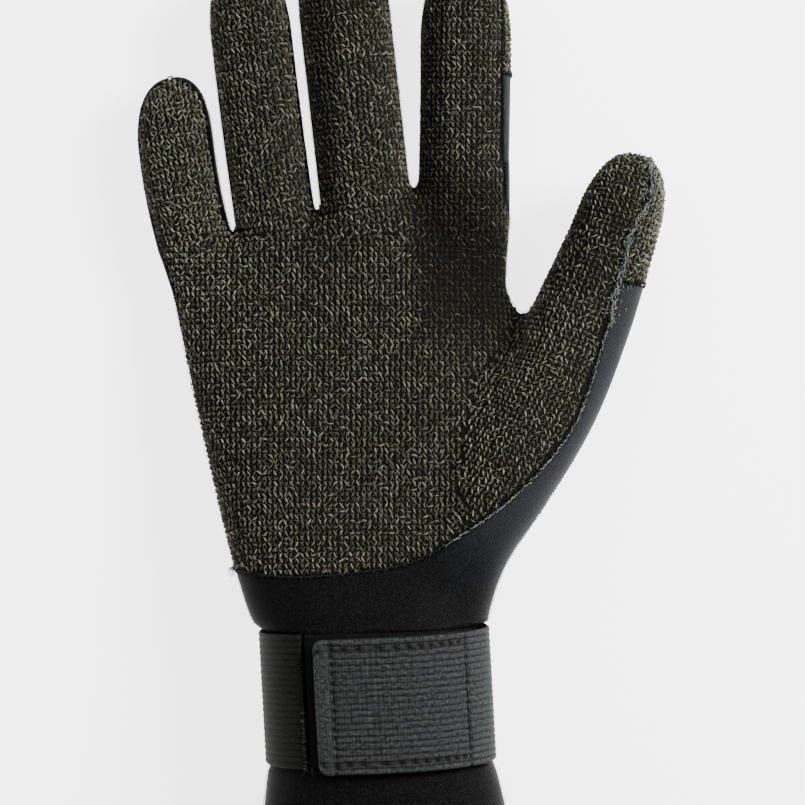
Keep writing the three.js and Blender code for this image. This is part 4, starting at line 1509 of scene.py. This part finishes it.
def frayedEnd():
    # loose bits of thread at the sewn end of the band, thickest towards the cuff
    lines, tones = [], []
    for _ in range(frayed["threads"]):
        v = frayed["reach"] * rng.random() ** 2.2
        angle = strap["bandStart"] + rng.normal(0.1, 0.45)
        turn = rng.normal(0, 1.3)
        along = fromMiddle * rng.uniform(0.5, 1.3)
        angles = angle - along * math.sin(turn) / 0.5 + 0.5 * np.sin(fromMiddle * 5 + turn)
        off = (strap["clearance"] + strapThick + 0.12 + 0.25 * np.cos(fromMiddle * math.pi)
               + rng.normal(0, 0.05))
        lines.append(strapPoint(angles, off, strapEndY + v * strapWidth + along * math.cos(turn)))
        tones.append(frayed["bright"] * math.exp(rng.normal(0, 0.5)) * (1 if v < 0.5 else 0.5))
    for _ in range(frayed["hanging"]):
        angle = rng.uniform(strap["bandStart"] - 4, strap["bandStart"] + 3)
        drift = rng.normal(0, 1.6)
        y = strapEndY + 0.7 - shares * rng.uniform(1.2, 3.2)
        off = strap["clearance"] + strapThick * 0.6 + 0.3 * shares
        lines.append(strapPoint(angle + drift * shares**2, off, y))
        tones.append(frayed["hangingBright"] * math.exp(rng.normal(0, 0.4)))
    return np.array(lines), np.clip(tones, 0.05, 1)


lines, tone = frayedEnd()
addStrapThreads("frayedThreads", lines, [0.06, 0.085, 0.085, 0.075, 0.05], tone)

# node, angles from, to and step, mm over the wrist, mm thick, rows, material and its colour
fasteners = {
    "loopPatch": ("loop_patch", (29, 121.7, 1.2), 0.3, 1.2, 81, "loopPile", (0.0016, 0.0016, 0.0017)),
    "hookPad": ("hook_pad", (406, 463.2, 1.5), 1.8, 1, 61, "hookTape", (0.006, 0.006, 0.0065)),
}


def fastenerMaterial(name, colour):
    material, tree, shader = newMaterial(name)
    fluff = noise(tree, 1.8, 4.0)
    colour = ramp(tree, fluff, [(0.4, colour), (0.8, tuple(3 * c for c in colour))])
    finishSurface(tree, shader, colour, 0.8, 0.05, fluff, 0.4)
    return material


def fluffy(angle, v):
    return 0.12 * np.sin(angle * 9.7 + 13 * v) * np.sin(v * 151 + angle * 3.1) - 0.12


for name, (node, reach, base, thick, rows, materialName, colour) in fasteners.items():
    points, tris, marks = strapMesh(np.arange(*reach), always(base), always(thick), fluffy, rows)
    strip = meshObject(name, points, tris, fastenerMaterial(materialName, colour), marks)
    place(strip, "fastener", node)

print("triangles in all", sum(triangleCounts.values()))

# camera straight above the palm, at the distance the strap's curve in the photograph asks for
view = {"across": 18.4, "up": -0.7, "height": 740, "level": 14, "millimetresSeen": 237.5, "sensor": 36}
camera = bpy.data.cameras.new("camera")
camera.lens = view["sensor"] * (view["height"] - view["level"]) / view["millimetresSeen"]
camera.clip_end = 10
cameraObject = bpy.data.objects.new("camera", camera)
cameraObject.location = (view["across"] * mm, view["up"] * mm, view["height"] * mm)
bpy.context.scene.collection.objects.link(cameraObject)
bpy.context.scene.camera = cameraObject

# the floor is a light table, so that the shadows stay faint
studio = {"floor": 0.95, "glow": 3.0, "sky": 0.75, "white": (1, 1, 1, 1), "floorReach": 3000}
floorMaterial, floorTree, floorShader = newMaterial("paleFloor")
setInputs(floorTree, floorShader, {
    "Base Color": (*[studio["floor"]] * 3, 1), "Roughness": 0.9,
    "Emission Color": studio["white"], "Emission Strength": studio["glow"],
})
far = studio["floorReach"]
corners = [(-far, -far, 0), (far, -far, 0), (far, far, 0), (-far, far, 0)]
floor = meshObject("floor", corners, [(0, 1, 2, 3)], floorMaterial)

world = bpy.data.worlds.new("studio")
world.use_nodes = True
background = world.node_tree.nodes["Background"]
setInputs(world.node_tree, background, {"Color": studio["white"], "Strength": studio["sky"]})
bpy.context.scene.world = world
# where each lamp stands in mm, its size in mm and its power
lamps = {
    "keyLamp": ((700, 330, 620), 380, 24),
    "fillLamp": ((-300, 500, 850), 600, 4),
}
for name, (spot, size, power) in lamps.items():
    lamp = bpy.data.lights.new(name, "AREA")
    lamp.size = size * mm
    lamp.energy = power
    lampObject = bpy.data.objects.new(name, lamp)
    lampObject.location = Vector(spot) * mm
    lampObject.rotation_euler = (-Vector(spot)).to_track_quat("-Z", "Y").to_euler()
    bpy.context.scene.collection.objects.link(lampObject)
